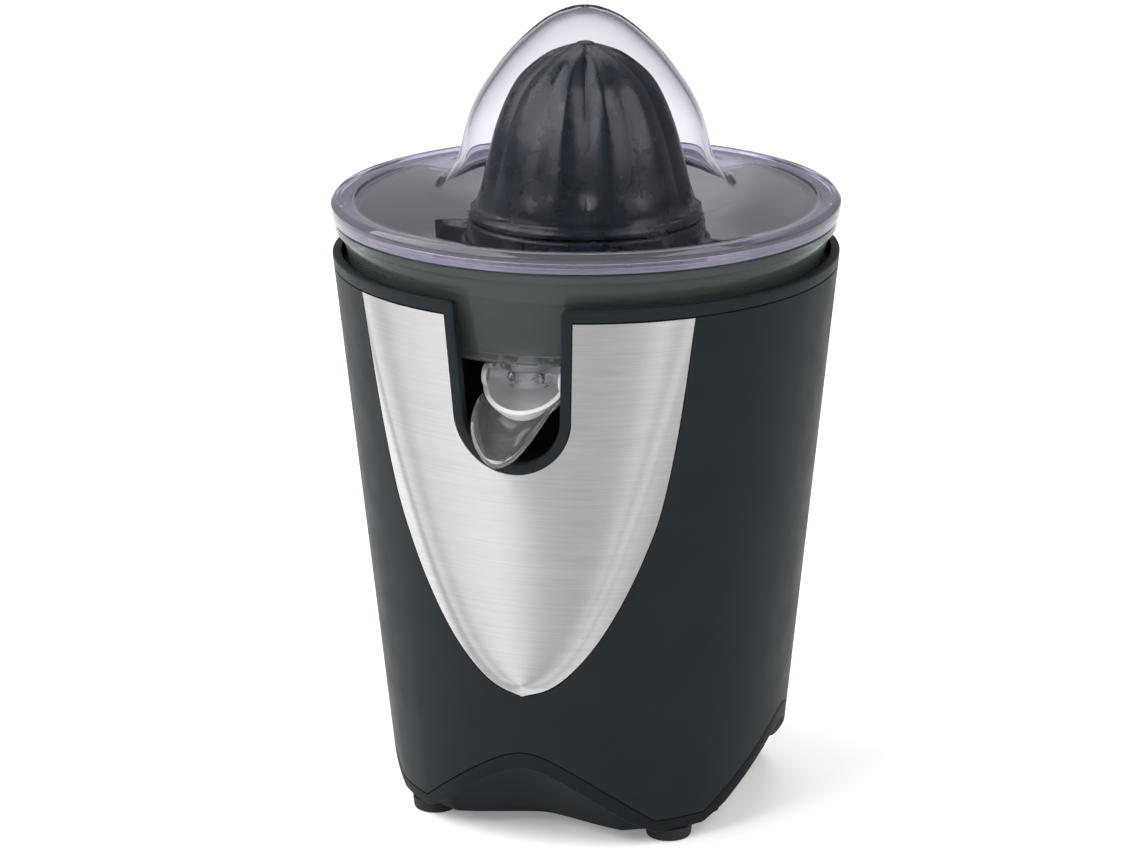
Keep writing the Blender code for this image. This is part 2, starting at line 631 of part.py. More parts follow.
def make_motor(parent, motor_axis):
    top = STACK_Z + STACK_HEIGHT
    y = MOTOR_AT[1]
    stack = part("stator_stack", box("stack", (-26, -33, STACK_Z), (26, 38, top)), "laminated_steel", parent)
    cut(stack, cylinder("rotor_bore", ROTOR_R + 0.5, STACK_Z - 1, top + 1, MOTOR_AT, 40))
    cut(stack, box("window", (-16, -18, STACK_Z - 1), (16, 1, top + 1)))
    cut(stack, box("throat", (-2.0, -6, STACK_Z - 1), (2.0, 10, top + 1)))
    for x in (-MOTOR_SCREW_X, MOTOR_SCREW_X):
        cut(stack, cylinder("screw_hole", 2.1, STACK_Z - 1, top + 1, (x, y), 12))

    bobbin = part("coil_bobbin", box("bobbin", (-15.6, -46, STACK_Z - 8), (15.6, -6, top + 8)),
                  "natural_nylon", parent)
    cut(bobbin, box("between_flanges", (-14.0, -50, STACK_Z - 12), (14.0, 0, top + 12)))
    add(bobbin, box("spool", (-14.4, -35.4, STACK_Z - 2.4), (14.4, -15.6, top + 2.4)))
    cut(bobbin, box("core_room", (-20, -33.4, STACK_Z - 0.4), (20, -17.6, top + 0.4)))

    winding = part("coil_winding", box("winding", (-13.7, -42.5, STACK_Z - 6.5), (13.7, -8.5, top + 6.5)),
                   "copper_wire", parent)
    bevel(winding, 2.0, 2)
    cut(winding, box("spool_room", (-20, -35.7, STACK_Z - 2.7), (20, -15.3, top + 2.7)))

    for name, plate, leg in (("lower_bearing_bracket", STACK_Z - 12, STACK_Z - GAP),
                             ("upper_bearing_bracket", top + 12, top + GAP)):
        strap = box(name, (-26, y - 8, plate - 1.2), (26, y + 8, plate + 1.2))
        bracket = part(name, strap, "steel", parent)
        low, high = min(plate, leg), max(plate, leg)
        for x in (-MOTOR_SCREW_X, MOTOR_SCREW_X):
            add(bracket, cylinder("leg", 4.0, low, high, (x, y), 16))
            cut(bracket, cylinder("leg_bore", 2.1, low - 3, high + 3, (x, y), 12))
        cut(bracket, cylinder("bush_hole", 5.4, plate - 3, plate + 3, MOTOR_AT, 24))
        bush = [(2.8, plate - 3), (5.1, plate - 3), (5.1, plate + 3), (2.8, plate + 3)]
        part(name.split("_")[0] + "_motor_bush", turned("bush", bush, FINE_STEPS), "sintered_bronze",
             parent, (*MOTOR_AT, 0))
    for side, x in (("left", -MOTOR_SCREW_X), ("right", MOTOR_SCREW_X)):
        head = STACK_Z - 13.2 - GAP
        screw = [(0, head - 2.4), (3.4, head - 2.4), (3.4, head), (1.6, head), (1.6, 106.8), (0, 106.8)]
        part("motor_screw_" + side, turned("motor_screw", screw, SCREW_STEPS), "steel", parent, (x, y, 0))

    part("rotor_shaft", cylinder("rotor_shaft", 2.5, 32.0, 117.8, steps=16), "steel", motor_axis)
    rotor = [(2.8, STACK_Z - 1), (ROTOR_R - 1.5, STACK_Z - 1), (ROTOR_R, STACK_Z), (ROTOR_R, top),
             (ROTOR_R - 1.5, top + 1), (2.8, top + 1)]
    part("rotor", turned("rotor", rotor, FINE_STEPS), "laminated_steel", motor_axis)
    teeth = gear_outline(PINION_TEETH, driven_phase(MOTOR_AT, GEAR_A_AT, PINION_TEETH))
    pinion = part("motor_pinion", prism("motor_pinion", teeth, 111.0, 117.6), "natural_nylon", motor_axis)
    cut(pinion, cylinder("pinion_bore", 2.8, 110.0, 119.0, steps=16))
    disc = [(2.8, 33.0), (6.0, 33.0), (6.0, 39.0), (22.0, 39.0), (22.0, 40.4), (2.8, 40.4)]
    fan = part("cooling_fan", turned("fan_disc", disc, FINE_STEPS), "white_nylon", motor_axis)
    for i in range(FAN_BLADES):
        angle = 2 * math.pi * i / FAN_BLADES
        ends = [(math.cos(angle + twist) * radius, math.sin(angle + twist) * radius)
                for radius, twist in ((8.0, -0.10), (21.5, -0.04), (21.5, 0.04), (8.0, 0.10))]
        add(fan, prism("blade", ends, 33.5, 39.5))


# ---------------------------------------------------------------- switch, wiring and cord entry

def make_switch(parent):
    switch = part("microswitch", box("microswitch", (-10, -3.2, 89.0), (10, 3.2, SWITCH_TOP)),
                  "dark_plastic", parent)
    cut(switch, cylinder("plunger_hole", 1.9, 92.0, SWITCH_TOP + 1, steps=12))
    for x in (-7.0, 0.0, 7.0):
        add(switch, box("terminal", (x - 1.6, -0.4, 84.0), (x + 1.6, 0.4, 89.5)))
    part("switch_plunger", cylinder("switch_plunger", 1.6, 95.0, 103.8, steps=12), "white_nylon", parent)

    block = part("terminal_block", box("terminal_block", (10, -32, BASE_FLOOR_Z + GAP), (34, -20, 19)),
                 "white_nylon", parent)
    for x in (15.0, 22.0, 29.0):
        cut(block, cylinder("wire_screw", 1.8, 12.0, 20.0, (x, -26.0), 8))
        cut(block, loft("wire_hole", [[(x + a, y, 11 + b) for a, b in circle(1.4, 8)] for y in (-34, -18)]))

    stations = ((56.0, 7.4), (59.6, 7.4), (59.8, 5.0), (66.0, 5.0), (66.2, 7.0), (68.2, 6.2))
    rings = [[(a, y, GLAND_Z + b) for a, b in circle(radius, FINE_STEPS)] for y, radius in stations]
    gland = part("cord_gland", loft("gland", rings), "foot_rubber", parent)
    cut(gland, rear_bar("cord_bore", 3.3, 50, 75, GLAND_Z))

    clamp = part("cord_clamp", box("cord_clamp", (-11, 26, BASE_FLOOR_Z + GAP), (11, 34, 15)),
                 "frame_plastic", parent)
    cut(clamp, rear_bar("cord_seat", 3.2, 20, 40, 10.9))
    for side, x in (("left", -7.5), ("right", 7.5)):
        cut(clamp, cylinder("clamp_hole", 1.7, 5.0, 16.0, (x, 30.0), 10))
        screw = [(0, 7.2), (1.4, 7.2), (1.4, 15.3), (2.8, 15.3), (2.8, 17.0), (0, 17.0)]
        part("clamp_screw_" + side, turned("clamp_screw", screw, SCREW_STEPS), "steel", parent, (x, 30, 0))


# ---------------------------------------------------------------- drive shaft

def make_shaft(parent):
    hexagon = circle(SHAFT_FLATS_R, 6)
    shaft = part("drive_shaft", prism("drive_shaft", hexagon, 116.0, SHAFT_TOP), "steel", parent)
    add(shaft, cylinder("collar", 7.0, 144.5, 146.0, steps=24), cylinder("tip", 2.2, 104.2, 117.0, steps=16))

    around = 10
    steps = SPRING_TURNS * around
    points = []
    for i in range(steps + 1):
        angle = 2 * math.pi * i / around
        height = SPRING_LOW + (SPRING_HIGH - SPRING_LOW) * i / steps
        points.append((SPRING_R * math.cos(angle), SPRING_R * math.sin(angle), height))
    curve = bpy.data.curves.new("return_spring", "CURVE")
    curve.dimensions = "3D"
    curve.bevel_depth = 0.5 * MM
    curve.bevel_resolution = 0
    curve.use_fill_caps = True
    spline = curve.splines.new("POLY")
    spline.points.add(len(points) - 1)
    for point, (x, y, z) in zip(spline.points, points):
        point.co = (x * MM, y * MM, z * MM, 1.0)
    part("return_spring", curve, "steel", parent)


# ---------------------------------------------------------------- bowl and spout

def make_bowl(parent):
    floor, top = BOWL_FLOOR_Z, BOWL_RIM_Z
    sheet = BOWL_SHEET
    outline = [(CHIMNEY_R - 1.8, floor), (69.0, floor), (70.2, floor + 1.2), (71.6, 167.0), (73.6, 176.0),
               (75.3, 182.4), (76.9, 183.0), (77.1, 183.6), (77.1, top - 0.4), (76.7, top),
               (73.2, top), (71.6, 176.5), (69.6, 167.0), (68.2, floor + sheet + 1.0),
               (67.2, floor + sheet), (CHIMNEY_R, floor + sheet), (CHIMNEY_R, 170.0),
               (CHIMNEY_R - 1.8, 170.0)]
    bowl = part("juice_bowl", turned("juice_bowl", outline), "smoked_plastic", parent)
    add(bowl, cylinder("boss", BOSS_R, BOSS_END_Z, floor + 0.7, (0, -BOSS_AT_R)))
    add(bowl, cylinder("tube", TUBE_R, TUBE_END_Z, floor + 0.6, (0, -OUTLET_R)))
    add(bowl, cross_bar("hinge_pins", PIN_R, PIN_HALF, -HINGE_R, HINGE_Z, 12))
    bore_r = TUBE_R - TUBE_WALL
    bore = [(0, TUBE_END_Z - 1), (bore_r, TUBE_END_Z - 1), (bore_r, floor + sheet - 1),
            (TUBE_R + 1, floor + sheet + 1), (0, floor + sheet + 1)]
    cut(bowl, turned_at("tube_bore", bore, (0, -OUTLET_R), 24))


def turned_at(name, outline, centre, steps):
    mesh = turned(name, outline, steps)
    for vertex in mesh.vertices:
        vertex.co.x += centre[0] * MM
        vertex.co.y += centre[1] * MM
    return mesh


def ball(name, radius):
    """A closed ball about the spout's hinge, with its poles on the hinge axis."""
    bm = bmesh.new()
    bmesh.ops.create_uvsphere(bm, u_segments=BALL_STEPS, v_segments=BALL_STEPS // 2, radius=radius,
                              matrix=Matrix.Rotation(math.pi / 2, 4, "Y"))
    return finish_mesh(bm, name)


def on_rim_plane(along, above):
    """(forward, up) from the hinge: along the cup's tilted rim plane, and square to it."""
    tilt = math.radians(RIM_TILT_DEG)
    return Vector((along * math.cos(tilt) + above * math.sin(tilt),
                   -along * math.sin(tilt) + above * math.cos(tilt)))


def lip_line(share, rise, across):
    """(forward, up) on the lip's inside: from its seat round the cup, past a bend, to the tip.

    A rise of 0 is the keel and 1 the side edge; across is the distance from the middle where it starts.
    """
    start = on_rim_plane(math.sqrt((CUP_R + GAP) ** 2 - LIP_START ** 2 - across ** 2), -LIP_START)
    bend = Vector(LIP_KEEL).lerp(Vector(LIP_EDGE), rise)
    tip = Vector((LIP_TIP_R - HINGE_R, LIP_TIP_Z - HINGE_Z))
    return start.lerp(bend, share).lerp(bend.lerp(tip, share), share)


def make_spout(hinge):
    valve = part("spout_valve", ball("spout_valve", CUP_R), "white_silicone", hinge)
    cut(valve, ball("cup_room", CUP_R - CUP_WALL))
    tilt = math.radians(RIM_TILT_DEG)
    dip = math.asin(-RIM_ABOVE / EAR_R)
    turns = [-tilt - dip + (math.pi + 2 * dip) * i / 10 for i in range(11)]
    ear = [(EAR_R * math.cos(a), EAR_R * math.sin(a)) for a in turns]
    back = on_rim_plane((RIM_ABOVE * math.cos(tilt) - RIM_BACK_Z) / math.sin(tilt), RIM_ABOVE)
    mouth = [on_rim_plane(20.0, RIM_ABOVE), *ear, back, (-20.0, RIM_BACK_Z), (-20.0, 30.0),
             on_rim_plane(20.0, 30.0)]
    cut(valve, loft("cup_mouth", [[(x, -forward, up) for forward, up in mouth] for x in (-15, 15)]))
    cut(valve, cross_bar("pin_holes", PIN_R + 0.35, 15, 0, 0, 16))

    rows_out, rows_in = [], []
    rows, columns = 10, 10
    for i in range(rows + 1):
        s = i / rows
        half = max(LIP_HALF * (1 - s ** 2.3) ** 0.5, LIP_TIP_HALF)
        narrowing = min(0.6 * LIP_SHEET / half, 0.25)
        outward = Vector((0.75 - 0.75 * s, -0.65 - 0.3 * s)) * LIP_SHEET
        out, inn = [], []
        for j in range(columns + 1):
            t = 2 * j / columns - 1
            rise = abs(t) ** 2.4
            inside = 1 - narrowing * rise
            low = lip_line(s, rise, LIP_HALF * t) + outward * (1 - 0.8 * rise)
            spot = lip_line(s, rise, LIP_HALF * t * inside)
            out.append(Vector((half * t, -low.x, low.y)))
            inn.append(Vector((half * t * inside, -spot.x, spot.y)))
        rows_out.append(out)
        rows_in.append(inn)
    part("spout_lip", grid_sheet("spout_lip", rows_out, rows_in), "clear_plastic", hinge)


# ---------------------------------------------------------------- strainer, sweeper, hub and cone

def make_strainer(parent):
    top, sheet = STRAINER_FLOOR_TOP, STRAINER_SHEET
    flange = BOWL_RIM_Z + GAP
    outline = [(15.5, top - sheet), (54.5, top - sheet), (62.0, 177.4), (70.0, flange), (75.8, flange),
               (75.8, flange + 1.1), (69.4, flange + 1.1), (61.0, 178.8), (53.8, top), (17.0, top),
               (17.0, top + 1.6), (15.5, top + 1.6)]
    strainer = part("pulp_strainer", turned("pulp_strainer", outline), "smoked_plastic", parent)
    for degrees in STRAINER_SLOTS:
        side = polar(0.8, degrees + 90)
        near, far = polar(40.5, degrees), polar(51.0, degrees)
        corners = [(near + side)[:2], (far + side)[:2], (far - side)[:2], (near - side)[:2]]
        cut(strainer, prism("slot", corners, top - sheet - 1, top + 1))


def make_sweeper(parent):
    low = STRAINER_FLOOR_TOP + GAP
    inner = HUB_R + 0.35
    outline = [(inner, low), (SWEEPER_R, low), (SWEEPER_R, 178.2), (inner, 178.2)]
    sweeper = part("pulp_sweeper", turned("pulp_sweeper", outline), "reamer_plastic", parent)
    for degrees in (265.0, 85.0):
        along, side = polar(1.0, degrees), polar(1.0, degrees + 90)
        outline = [(SWEEPER_R - 0.6, -3.6), (44.0, -2.6), (50.8, -0.6), (50.8, 0.6), (44.0, 2.2),
                   (SWEEPER_R - 0.6, 4.6)]
        plan = [(along * a + side * b) for a, b in outline]
        heights = (178.0, 180.3, 179.2, 179.2, 180.3, 178.0)
        add(sweeper, loft("fin", [[(p.x, p.y, low) for p in plan],
                                  [(p.x, p.y, z) for p, z in zip(plan, heights)]]))
    for degrees in (0.0, 120.0, 240.0):
        along, side = polar(1.0, degrees), polar(1.0, degrees + 90)
        plan = [along * a + side * b for a, b in ((35.6, -1.5), (37.4, -1.5), (37.4, 1.5), (35.6, 1.5))]
        add(sweeper, prism("lug", [p[:2] for p in plan], low, 177.6))


def make_hub(parent):
    outline = [(HUB_R, HUB_BOTTOM), (HUB_R, 183.8), (35.6, 184.8), (30.8, 184.8), (25.2, 205.4),
               (22.0, 213.4), (19.0, 217.0), (12.0, 217.0), (12.0, 215.2), (18.2, 215.2), (20.6, 212.4),
               (23.6, 204.8), (29.4, 183.0), (34.9, 182.4), (34.9, HUB_BOTTOM)]
    hub = part("cone_hub", turned("cone_hub", outline), "reamer_plastic", parent)
    add(hub, cylinder("socket", 12.4, 178.0, 216.0, steps=24))
    cut(hub, prism("socket_hex", circle(SHAFT_FLATS_R + 0.45, 6), 170.0, 209.0))
    cut(hub, cylinder("socket_mouth", 10.6, 170.0, 188.0, steps=24))
    for degrees in (0.0, 120.0, 240.0):
        along, side = polar(1.0, degrees), polar(1.0, degrees + 90)
        plan = [along * a + side * b for a, b in ((33.0, -1.9), (39.0, -1.9), (39.0, 1.9), (33.0, 1.9))]
        cut(hub, prism("key_way", [p[:2] for p in plan], 170.0, 182.0))


CONE_LINE = [(33.9, 189.0), (32.4, 197.0), (30.2, 206.0), (27.4, 214.8), (23.4, 223.6), (19.0, 229.4),
             (11.4, 235.2), (4.2, 237.8)]


def rib_depth(z):
    """How deep the flutes are at a height: shallow at the base and at the tip."""
    share = (z - 189.0) / (237.8 - 189.0)
    return 2.6 * math.sin(math.pi * min(max(share, 0.0), 1.0)) ** 0.7


def cone_profile(degrees):
    wave = 0.5 - 0.5 * abs(math.cos(math.radians(degrees * CONE_RIBS / 2))) ** 0.8
    outer = [(35.9, CONE_BASE_Z - 1.6), (36.0, CONE_BASE_Z), (34.6, CONE_BASE_Z + 1.0)]
    outer += [(r - 2 * wave * rib_depth(z) * min(r / 12, 1.0), z) for r, z in CONE_LINE]
    outer += [(2.6, 238.2), (2.0, CONE_TIP_Z), (0.0, CONE_TIP_Z)]
    inner = [(0.0, 219.6), (20.2, 219.0), (22.8, 214.2), (26.0, 206.0), (31.6, CONE_BASE_Z - 0.6),
             (33.4, CONE_BASE_Z - 1.6)]
    return outer + inner


def make_cone(parent):
    part("reamer_cone", swept("reamer_cone", cone_profile, CONE_STEPS), "reamer_plastic", parent)


# ---------------------------------------------------------------- lid

DOME_LINE = [(43.2, 196.8), (39.2, 203.0), (36.2, 214.8), (33.0, 222.2), (28.0, 229.8),
             (21.6, 237.6), (12.8, 245.4), (5.0, 249.2)]


def make_lid(parent):
    outer = [(LID_R - 0.4, LID_RIM_LOW), (LID_R, 187.0), (LID_R, 190.4), (76.8, 192.1), (74.6, 191.4),
             (71.0, 190.9), (48.0, 194.3)]
    outer += DOME_LINE + [(0.0, LID_TOP)]
    inner = [(0.0, 247.8), (4.6, 247.2)]
    inner += [(r - 1.2, z - 1.5) for r, z in reversed(DOME_LINE[1:-1])]
    inner += [(46.6, 192.4), (70.0, 188.9), (76.9, 188.9), (76.9, LID_RIM_LOW)]
    part("dome_lid", turned("dome_lid", outer + inner), "clear_plastic", parent)


# ---------------------------------------------------------------- assembly

def main():
    clear_scene()
    scene = bpy.context.scene
    scene.unit_settings.system = "METRIC"
    axis = empty("juicer_axis", (0, AXIS_Y, 0))
    motor_axis = empty("motor_axis", (*MOTOR_AT, 0), axis)
    axis_a = empty("gear_a_axis", (*GEAR_A_AT, 0), axis)
    axis_b = empty("gear_b_axis", (*GEAR_B_AT, 0), axis)
    hinge = empty("spout_hinge", (0, -HINGE_R, HINGE_Z), axis)

    make_base(axis)
    make_shell(axis)
    make_ring(axis)
    make_deck(axis)
    make_gearbox(axis)
    make_gears(axis, axis_a, axis_b)
    make_motor(axis, motor_axis)
    make_switch(axis)
    make_shaft(axis)
    make_bowl(axis)
    make_spout(hinge)
    make_strainer(axis)
    make_sweeper(axis)
    make_hub(axis)
    make_cone(axis)
    make_lid(axis)


main()
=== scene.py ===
"""Looks of the citrus press juicer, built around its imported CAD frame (metres, +Z up, front towards -Y).

Shape values below are in millimetres, with radii from the drive axis and heights from the worktop.
"""

import json
import math

import bmesh
import bpy
from mathutils import Matrix, Vector


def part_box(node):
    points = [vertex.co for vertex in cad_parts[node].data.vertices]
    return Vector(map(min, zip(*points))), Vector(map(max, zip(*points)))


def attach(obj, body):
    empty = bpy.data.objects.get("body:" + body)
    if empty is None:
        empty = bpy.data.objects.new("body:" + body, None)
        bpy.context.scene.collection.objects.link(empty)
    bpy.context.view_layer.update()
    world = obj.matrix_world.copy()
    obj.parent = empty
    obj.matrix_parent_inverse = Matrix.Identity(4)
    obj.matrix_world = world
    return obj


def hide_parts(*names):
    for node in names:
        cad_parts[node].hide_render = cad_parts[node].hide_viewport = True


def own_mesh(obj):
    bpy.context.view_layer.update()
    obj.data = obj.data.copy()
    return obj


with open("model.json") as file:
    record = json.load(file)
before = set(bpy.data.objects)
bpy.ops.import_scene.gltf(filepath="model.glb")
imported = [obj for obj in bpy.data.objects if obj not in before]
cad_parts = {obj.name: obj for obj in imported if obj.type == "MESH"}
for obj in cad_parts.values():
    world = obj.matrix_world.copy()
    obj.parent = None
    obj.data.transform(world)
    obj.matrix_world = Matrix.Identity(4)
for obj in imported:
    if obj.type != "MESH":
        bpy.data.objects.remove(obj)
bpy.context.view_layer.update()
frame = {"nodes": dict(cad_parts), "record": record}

MM = 0.001
SHARP_DEG = 32


def box_mm(node):
    low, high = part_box(node)
    return low / MM, high / MM


def top_of(node):
    return box_mm(node)[1].z


def bottom_of(node):
    return box_mm(node)[0].z


# ---- the drive axis, and heights that the frame gives
hub_low, hub_high = box_mm("cone_hub")
AXIS = Vector((0, (hub_low.y + hub_high.y) / 2, 0)) * MM
BODY_TOP = top_of("top_ring")
LID_TOP = top_of("dome_lid")
CONE_TIP = top_of("reamer_cone")
PANEL_TOP = top_of("steel_front_panel")
TUBE_END = bottom_of("juice_bowl")
SWEEPER_LOW = bottom_of("pulp_sweeper")
HUB_LOW = bottom_of("cone_hub")
BASE_LOW = bottom_of("base_cover")
GAP = 0.3

# ---- body cone, parting line and arches
BODY_R = 78.0
BODY_TAPER = 0.099
SHELL_WALL = 2.6
RING_LOW = 171.65
RING_DEPTH = 2.8
LAND_Z = 8.1
ARCH_PEAK = 31.8
ARCH_SLOPE = 0.8
ARCH_ROUND_DEG = 8.3
STRIP_LAND = 3.8
STRIP_ARCH = 5.6
STRIP_DEPTH = 2.4
STRIP_BLEND = 6.0
RECESS_R = 43.5
RECESS_LAND_R = 57.5
RECESS_BLEND_DEG = 28.0
BASE_SHEET = 2.2
SEAM_RISE = 2.6
VENT_PITCH = 7.5
VENT_HALF = 1.5
VENT_Y = (-18, 6)
FOOT_CIRCLE_R = 53.9
GLAND_HOLE_R = 5.4
GLAND_STEPS = 72
BODY_STEPS = 384
TURN_STEPS = 288

# ---- front slot and steel panel
PANEL_OUTLINE = [(PANEL_TOP, 56.6), (137.0, 50.6), (112.0, 44.6), (97.0, 38.8), (83.0, 31.9),
                 (70.0, 24.0), (60.0, 15.8), (54.0, 8.4), (51.0, 0.0)]
PANEL_SHEET = 0.8
PANEL_INSET = 0.05
PANEL_COLUMNS = 72
PANEL_TIP_Z = 60.0
SLOT_TOP_HALF = 16.6
SLOT_HALF = 14.9
SLOT_ARC_Z = 141.5
FRAME_WIDTH = 3.1
FRAME_DEPTH = 3.4
FRAME_PROUD = 0.2
FRAME_CORNER_R = 1.3
FRAME_TURN = 0.6
SLOT_BACK_Y = -50
SLOT_STEPS = 64

# ---- bowl, spout and strainer
BOWL_FLOOR = 155.9
BOWL_SHEET = 2.2
BOWL_RIM = 185.6
CHIMNEY_R = 13.2
CHIMNEY_WALL = 1.8
CHIMNEY_TOP = 170.0
OUTLET_R = 55.3
TUBE_R = 6.3
TUBE_WALL = 1.4
BOSS_R = 8.0
BOSS_AT_R = 57.5
BOSS_END = 152.2
HINGE_R = 59.5
HINGE_Z = 149.5
CUP_R = 13.05
CUP_WALL = 1.4
RIM_TILT_DEG = 37.0
RIM_ABOVE = -1.2
RIM_BACK_Z = 4.4
EAR_R = 3.4
PIN_R = 1.5
PIN_HALF = 11.8
PIN_PLAY = 0.35
PAST_CUP = 20.0
LIP_TIP = (88.0, 131.2)
LIP_HALF = 12.2
LIP_SHEET = 1.5
LIP_START = 1.8
LIP_EDGE = (19.5, -6.0)
LIP_KEEL = (20.0, -19.5)
DISH_Z = 172.3
DISH_SHEET = 1.8
STRAINER_SLOT_R = (50.2, 41.3)
STRAINER_SLOT_HALF = 0.8
STRAINER_SLOTS = [-48 + 12 * i for i in range(9)] + [150 + 12 * i for i in range(6)]

# ---- cone, hub, return spring and lid
CONE_BASE = 187.0
CONE_LINE = [(33.9, 189.0), (32.4, 197.0), (30.2, 206.0), (27.4, 214.8), (23.4, 223.6), (19.0, 229.4),
             (11.4, 235.2), (4.2, 237.8)]
FLUTES = 12
FLUTE_TURN = 17.7
FLUTE_DEPTH = 3.5
FLUTE_FADE_R = 12.0
SHALLOW_FLUTE = 0.28
HUB_R = 36.7
SWEEPER_R = 38.2
SWEEPER_TOP = 178.2
SWEEPER_PLAY = 0.35
FIN_DEG = (265.0, 85.0)
SPRING_TURNS = 3
SPRING_WIRE_R = 0.5
LID_R = 78.2
DOME_LINE = [(43.2, 196.8), (39.2, 203.0), (36.2, 214.8), (33.0, 222.2), (28.0, 229.8),
             (21.6, 237.6), (12.8, 245.4), (5.0, 249.2)]

# ---- camera: where it stands and how it is turned, and the height that the lights aim at
CAMERA_AZ = 17.7
CAMERA_R = 1124.6
CAMERA_Z = 460.2
PITCH_DEG = 16.99
YAW_DEG = 0.268
ROLL_DEG = -0.326
LENS = 118.9
LIGHT_AIM_Z = 120.0


# ---------------------------------------------------------------- shapes

def polar(radius, degrees, z=0.0):
    """A point at an azimuth measured from the front (-Y), turning towards +X."""
    angle = math.radians(degrees)
    return Vector((radius * math.sin(angle), -radius * math.cos(angle), z))


def circle(radius, steps, centre=(0.0, 0.0)):
    angles = (2 * math.pi * i / steps for i in range(steps))
    return [(centre[0] + radius * math.cos(a), centre[1] + radius * math.sin(a)) for a in angles]


def smooth_line(points, per_span):
    """A Catmull-Rom curve through the given points."""
    curve = []
    ends = [points[0]] + list(points) + [points[-1]]
    for i in range(1, len(ends) - 2):
        p0, p1, p2, p3 = (Vector(ends[i + k]) for k in (-1, 0, 1, 2))
        for step in range(per_span):
            t = step / per_span
            curve.append(0.5 * ((2 * p1) + (p2 - p0) * t + (2 * p0 - 5 * p1 + 4 * p2 - p3) * t ** 2
                                + (3 * p1 - p0 - 3 * p2 + p3) * t ** 3))
    curve.append(Vector(points[-1]))
    return [tuple(p) for p in curve]


def rounded(corners, steps=4):
    """A closed outline with rounded corners; each corner is (a, b) or (a, b, radius)."""
    outline = []
    for i, corner in enumerate(corners):
        here = Vector(corner[:2])
        if len(corner) < 3:
            outline.append(tuple(here))
            continue
        before = Vector(corners[i - 1][:2]) - here
        after = Vector(corners[(i + 1) % len(corners)][:2]) - here
        reach = corner[2] / math.tan(before.angle(after) / 2)
        reach = min(reach, 0.48 * before.length, 0.48 * after.length)
        start = here + before.normalized() * reach
        end = here + after.normalized() * reach
        for k in range(steps + 1):
            t = k / steps
            outline.append(tuple(start.lerp(here, t).lerp(here.lerp(end, t), t)))
    return outline


def finish_mesh(bm, name):
    """Turn a bmesh in millimetres into a closed, outward-facing mesh in metres."""
    bmesh.ops.recalc_face_normals(bm, faces=bm.faces)
    bmesh.ops.scale(bm, vec=(MM, MM, MM), verts=bm.verts)
    mesh = bpy.data.meshes.new(name)
    bm.to_mesh(mesh)
    bm.free()
    mesh.shade_smooth()
    mesh.set_sharp_from_angle(angle=math.radians(SHARP_DEG))
    return mesh


def swept(name, profile, steps=TURN_STEPS):
    """A body whose closed (r, z) profile may change with the azimuth in degrees."""
    bm = bmesh.new()
    columns = []
    poles = {}
    for i in range(steps):
        degrees = 360 * i / steps
        column = []
        for j, (radius, z) in enumerate(profile(degrees)):
            if radius > 1e-6:
                column.append(bm.verts.new(polar(radius, degrees, z)))
            else:
                if j not in poles:
                    poles[j] = bm.verts.new((0, 0, z))
                column.append(poles[j])
        columns.append(column)
    count = len(columns[0])
    for i in range(steps):
        here, there = columns[i], columns[(i + 1) % steps]
        for j in range(count):
            k = (j + 1) % count
            corners = []
            for vert in (here[j], here[k], there[k], there[j]):
                if vert not in corners:
                    corners.append(vert)
            if len(corners) > 2:
                bm.faces.new(corners)
    return finish_mesh(bm, name)


def turned(name, outline, steps=TURN_STEPS, centre=(0.0, 0.0)):
    mesh = swept(name, lambda degrees: outline, steps)
    mesh.transform(Matrix.Translation((centre[0] * MM, centre[1] * MM, 0)))
    return mesh


def loft(name, sections, closed=False):
    """A body through loops of points; its ends are capped, or joined to each other."""
    bm = bmesh.new()
    rings = [[bm.verts.new(p) for p in section] for section in sections]
    pairs = list(zip(rings, rings[1:]))
    if closed:
        pairs.append((rings[-1], rings[0]))
    for lower, upper in pairs:
        count = len(lower)
        for j in range(count):
            k = (j + 1) % count
            bm.faces.new((lower[j], lower[k], upper[k], upper[j]))
    if not closed:
        bm.faces.new(rings[0])
        bm.faces.new(rings[-1])
    return finish_mesh(bm, name)


def prism(name, outline, low, high):
    return loft(name, [[(x, y, z) for x, y in outline] for z in (low, high)])


def cross_bar(name, radius, half, y, z, steps=32):
    """A round bar along X."""
    return loft(name, [[(x, y + a, z + b) for a, b in circle(radius, steps)] for x in (-half, half)])


def grid_sheet(name, outer, inner):
    """A sheet between two equal grids of points, closed all round."""
    bm = bmesh.new()
    rows, cols = len(outer), len(outer[0])
    top = [[bm.verts.new(p) for p in row] for row in outer]
    low = [[bm.verts.new(p) for p in row] for row in inner]
    for grid in (top, low):
        for i in range(rows - 1):
            for j in range(cols - 1):
                bm.faces.new((grid[i][j], grid[i + 1][j], grid[i + 1][j + 1], grid[i][j + 1]))
    edge = [(0, j) for j in range(cols)] + [(i, cols - 1) for i in range(1, rows)]
    edge += [(rows - 1, j) for j in range(cols - 2, -1, -1)] + [(i, 0) for i in range(rows - 2, 0, -1)]
    for (a, b), (c, d) in zip(edge, edge[1:] + edge[:1]):
        bm.faces.new((top[a][b], top[c][d], low[c][d], low[a][b]))
    return finish_mesh(bm, name)


# ---------------------------------------------------------------- pieces

def piece(name, mesh, slot, body, *nodes, look=None):
    """A visible piece on the drive axis, which rides on a body and stands for CAD nodes.

    Its material is its slot's own, or another look of that finish.
    """
    obj = bpy.data.objects.new(name, mesh)
    bpy.context.scene.collection.objects.link(obj)
    obj.location = AXIS
    obj.data.materials.append(MATERIALS[look or slot])
    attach(obj, body)
    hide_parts(*nodes)
    return obj


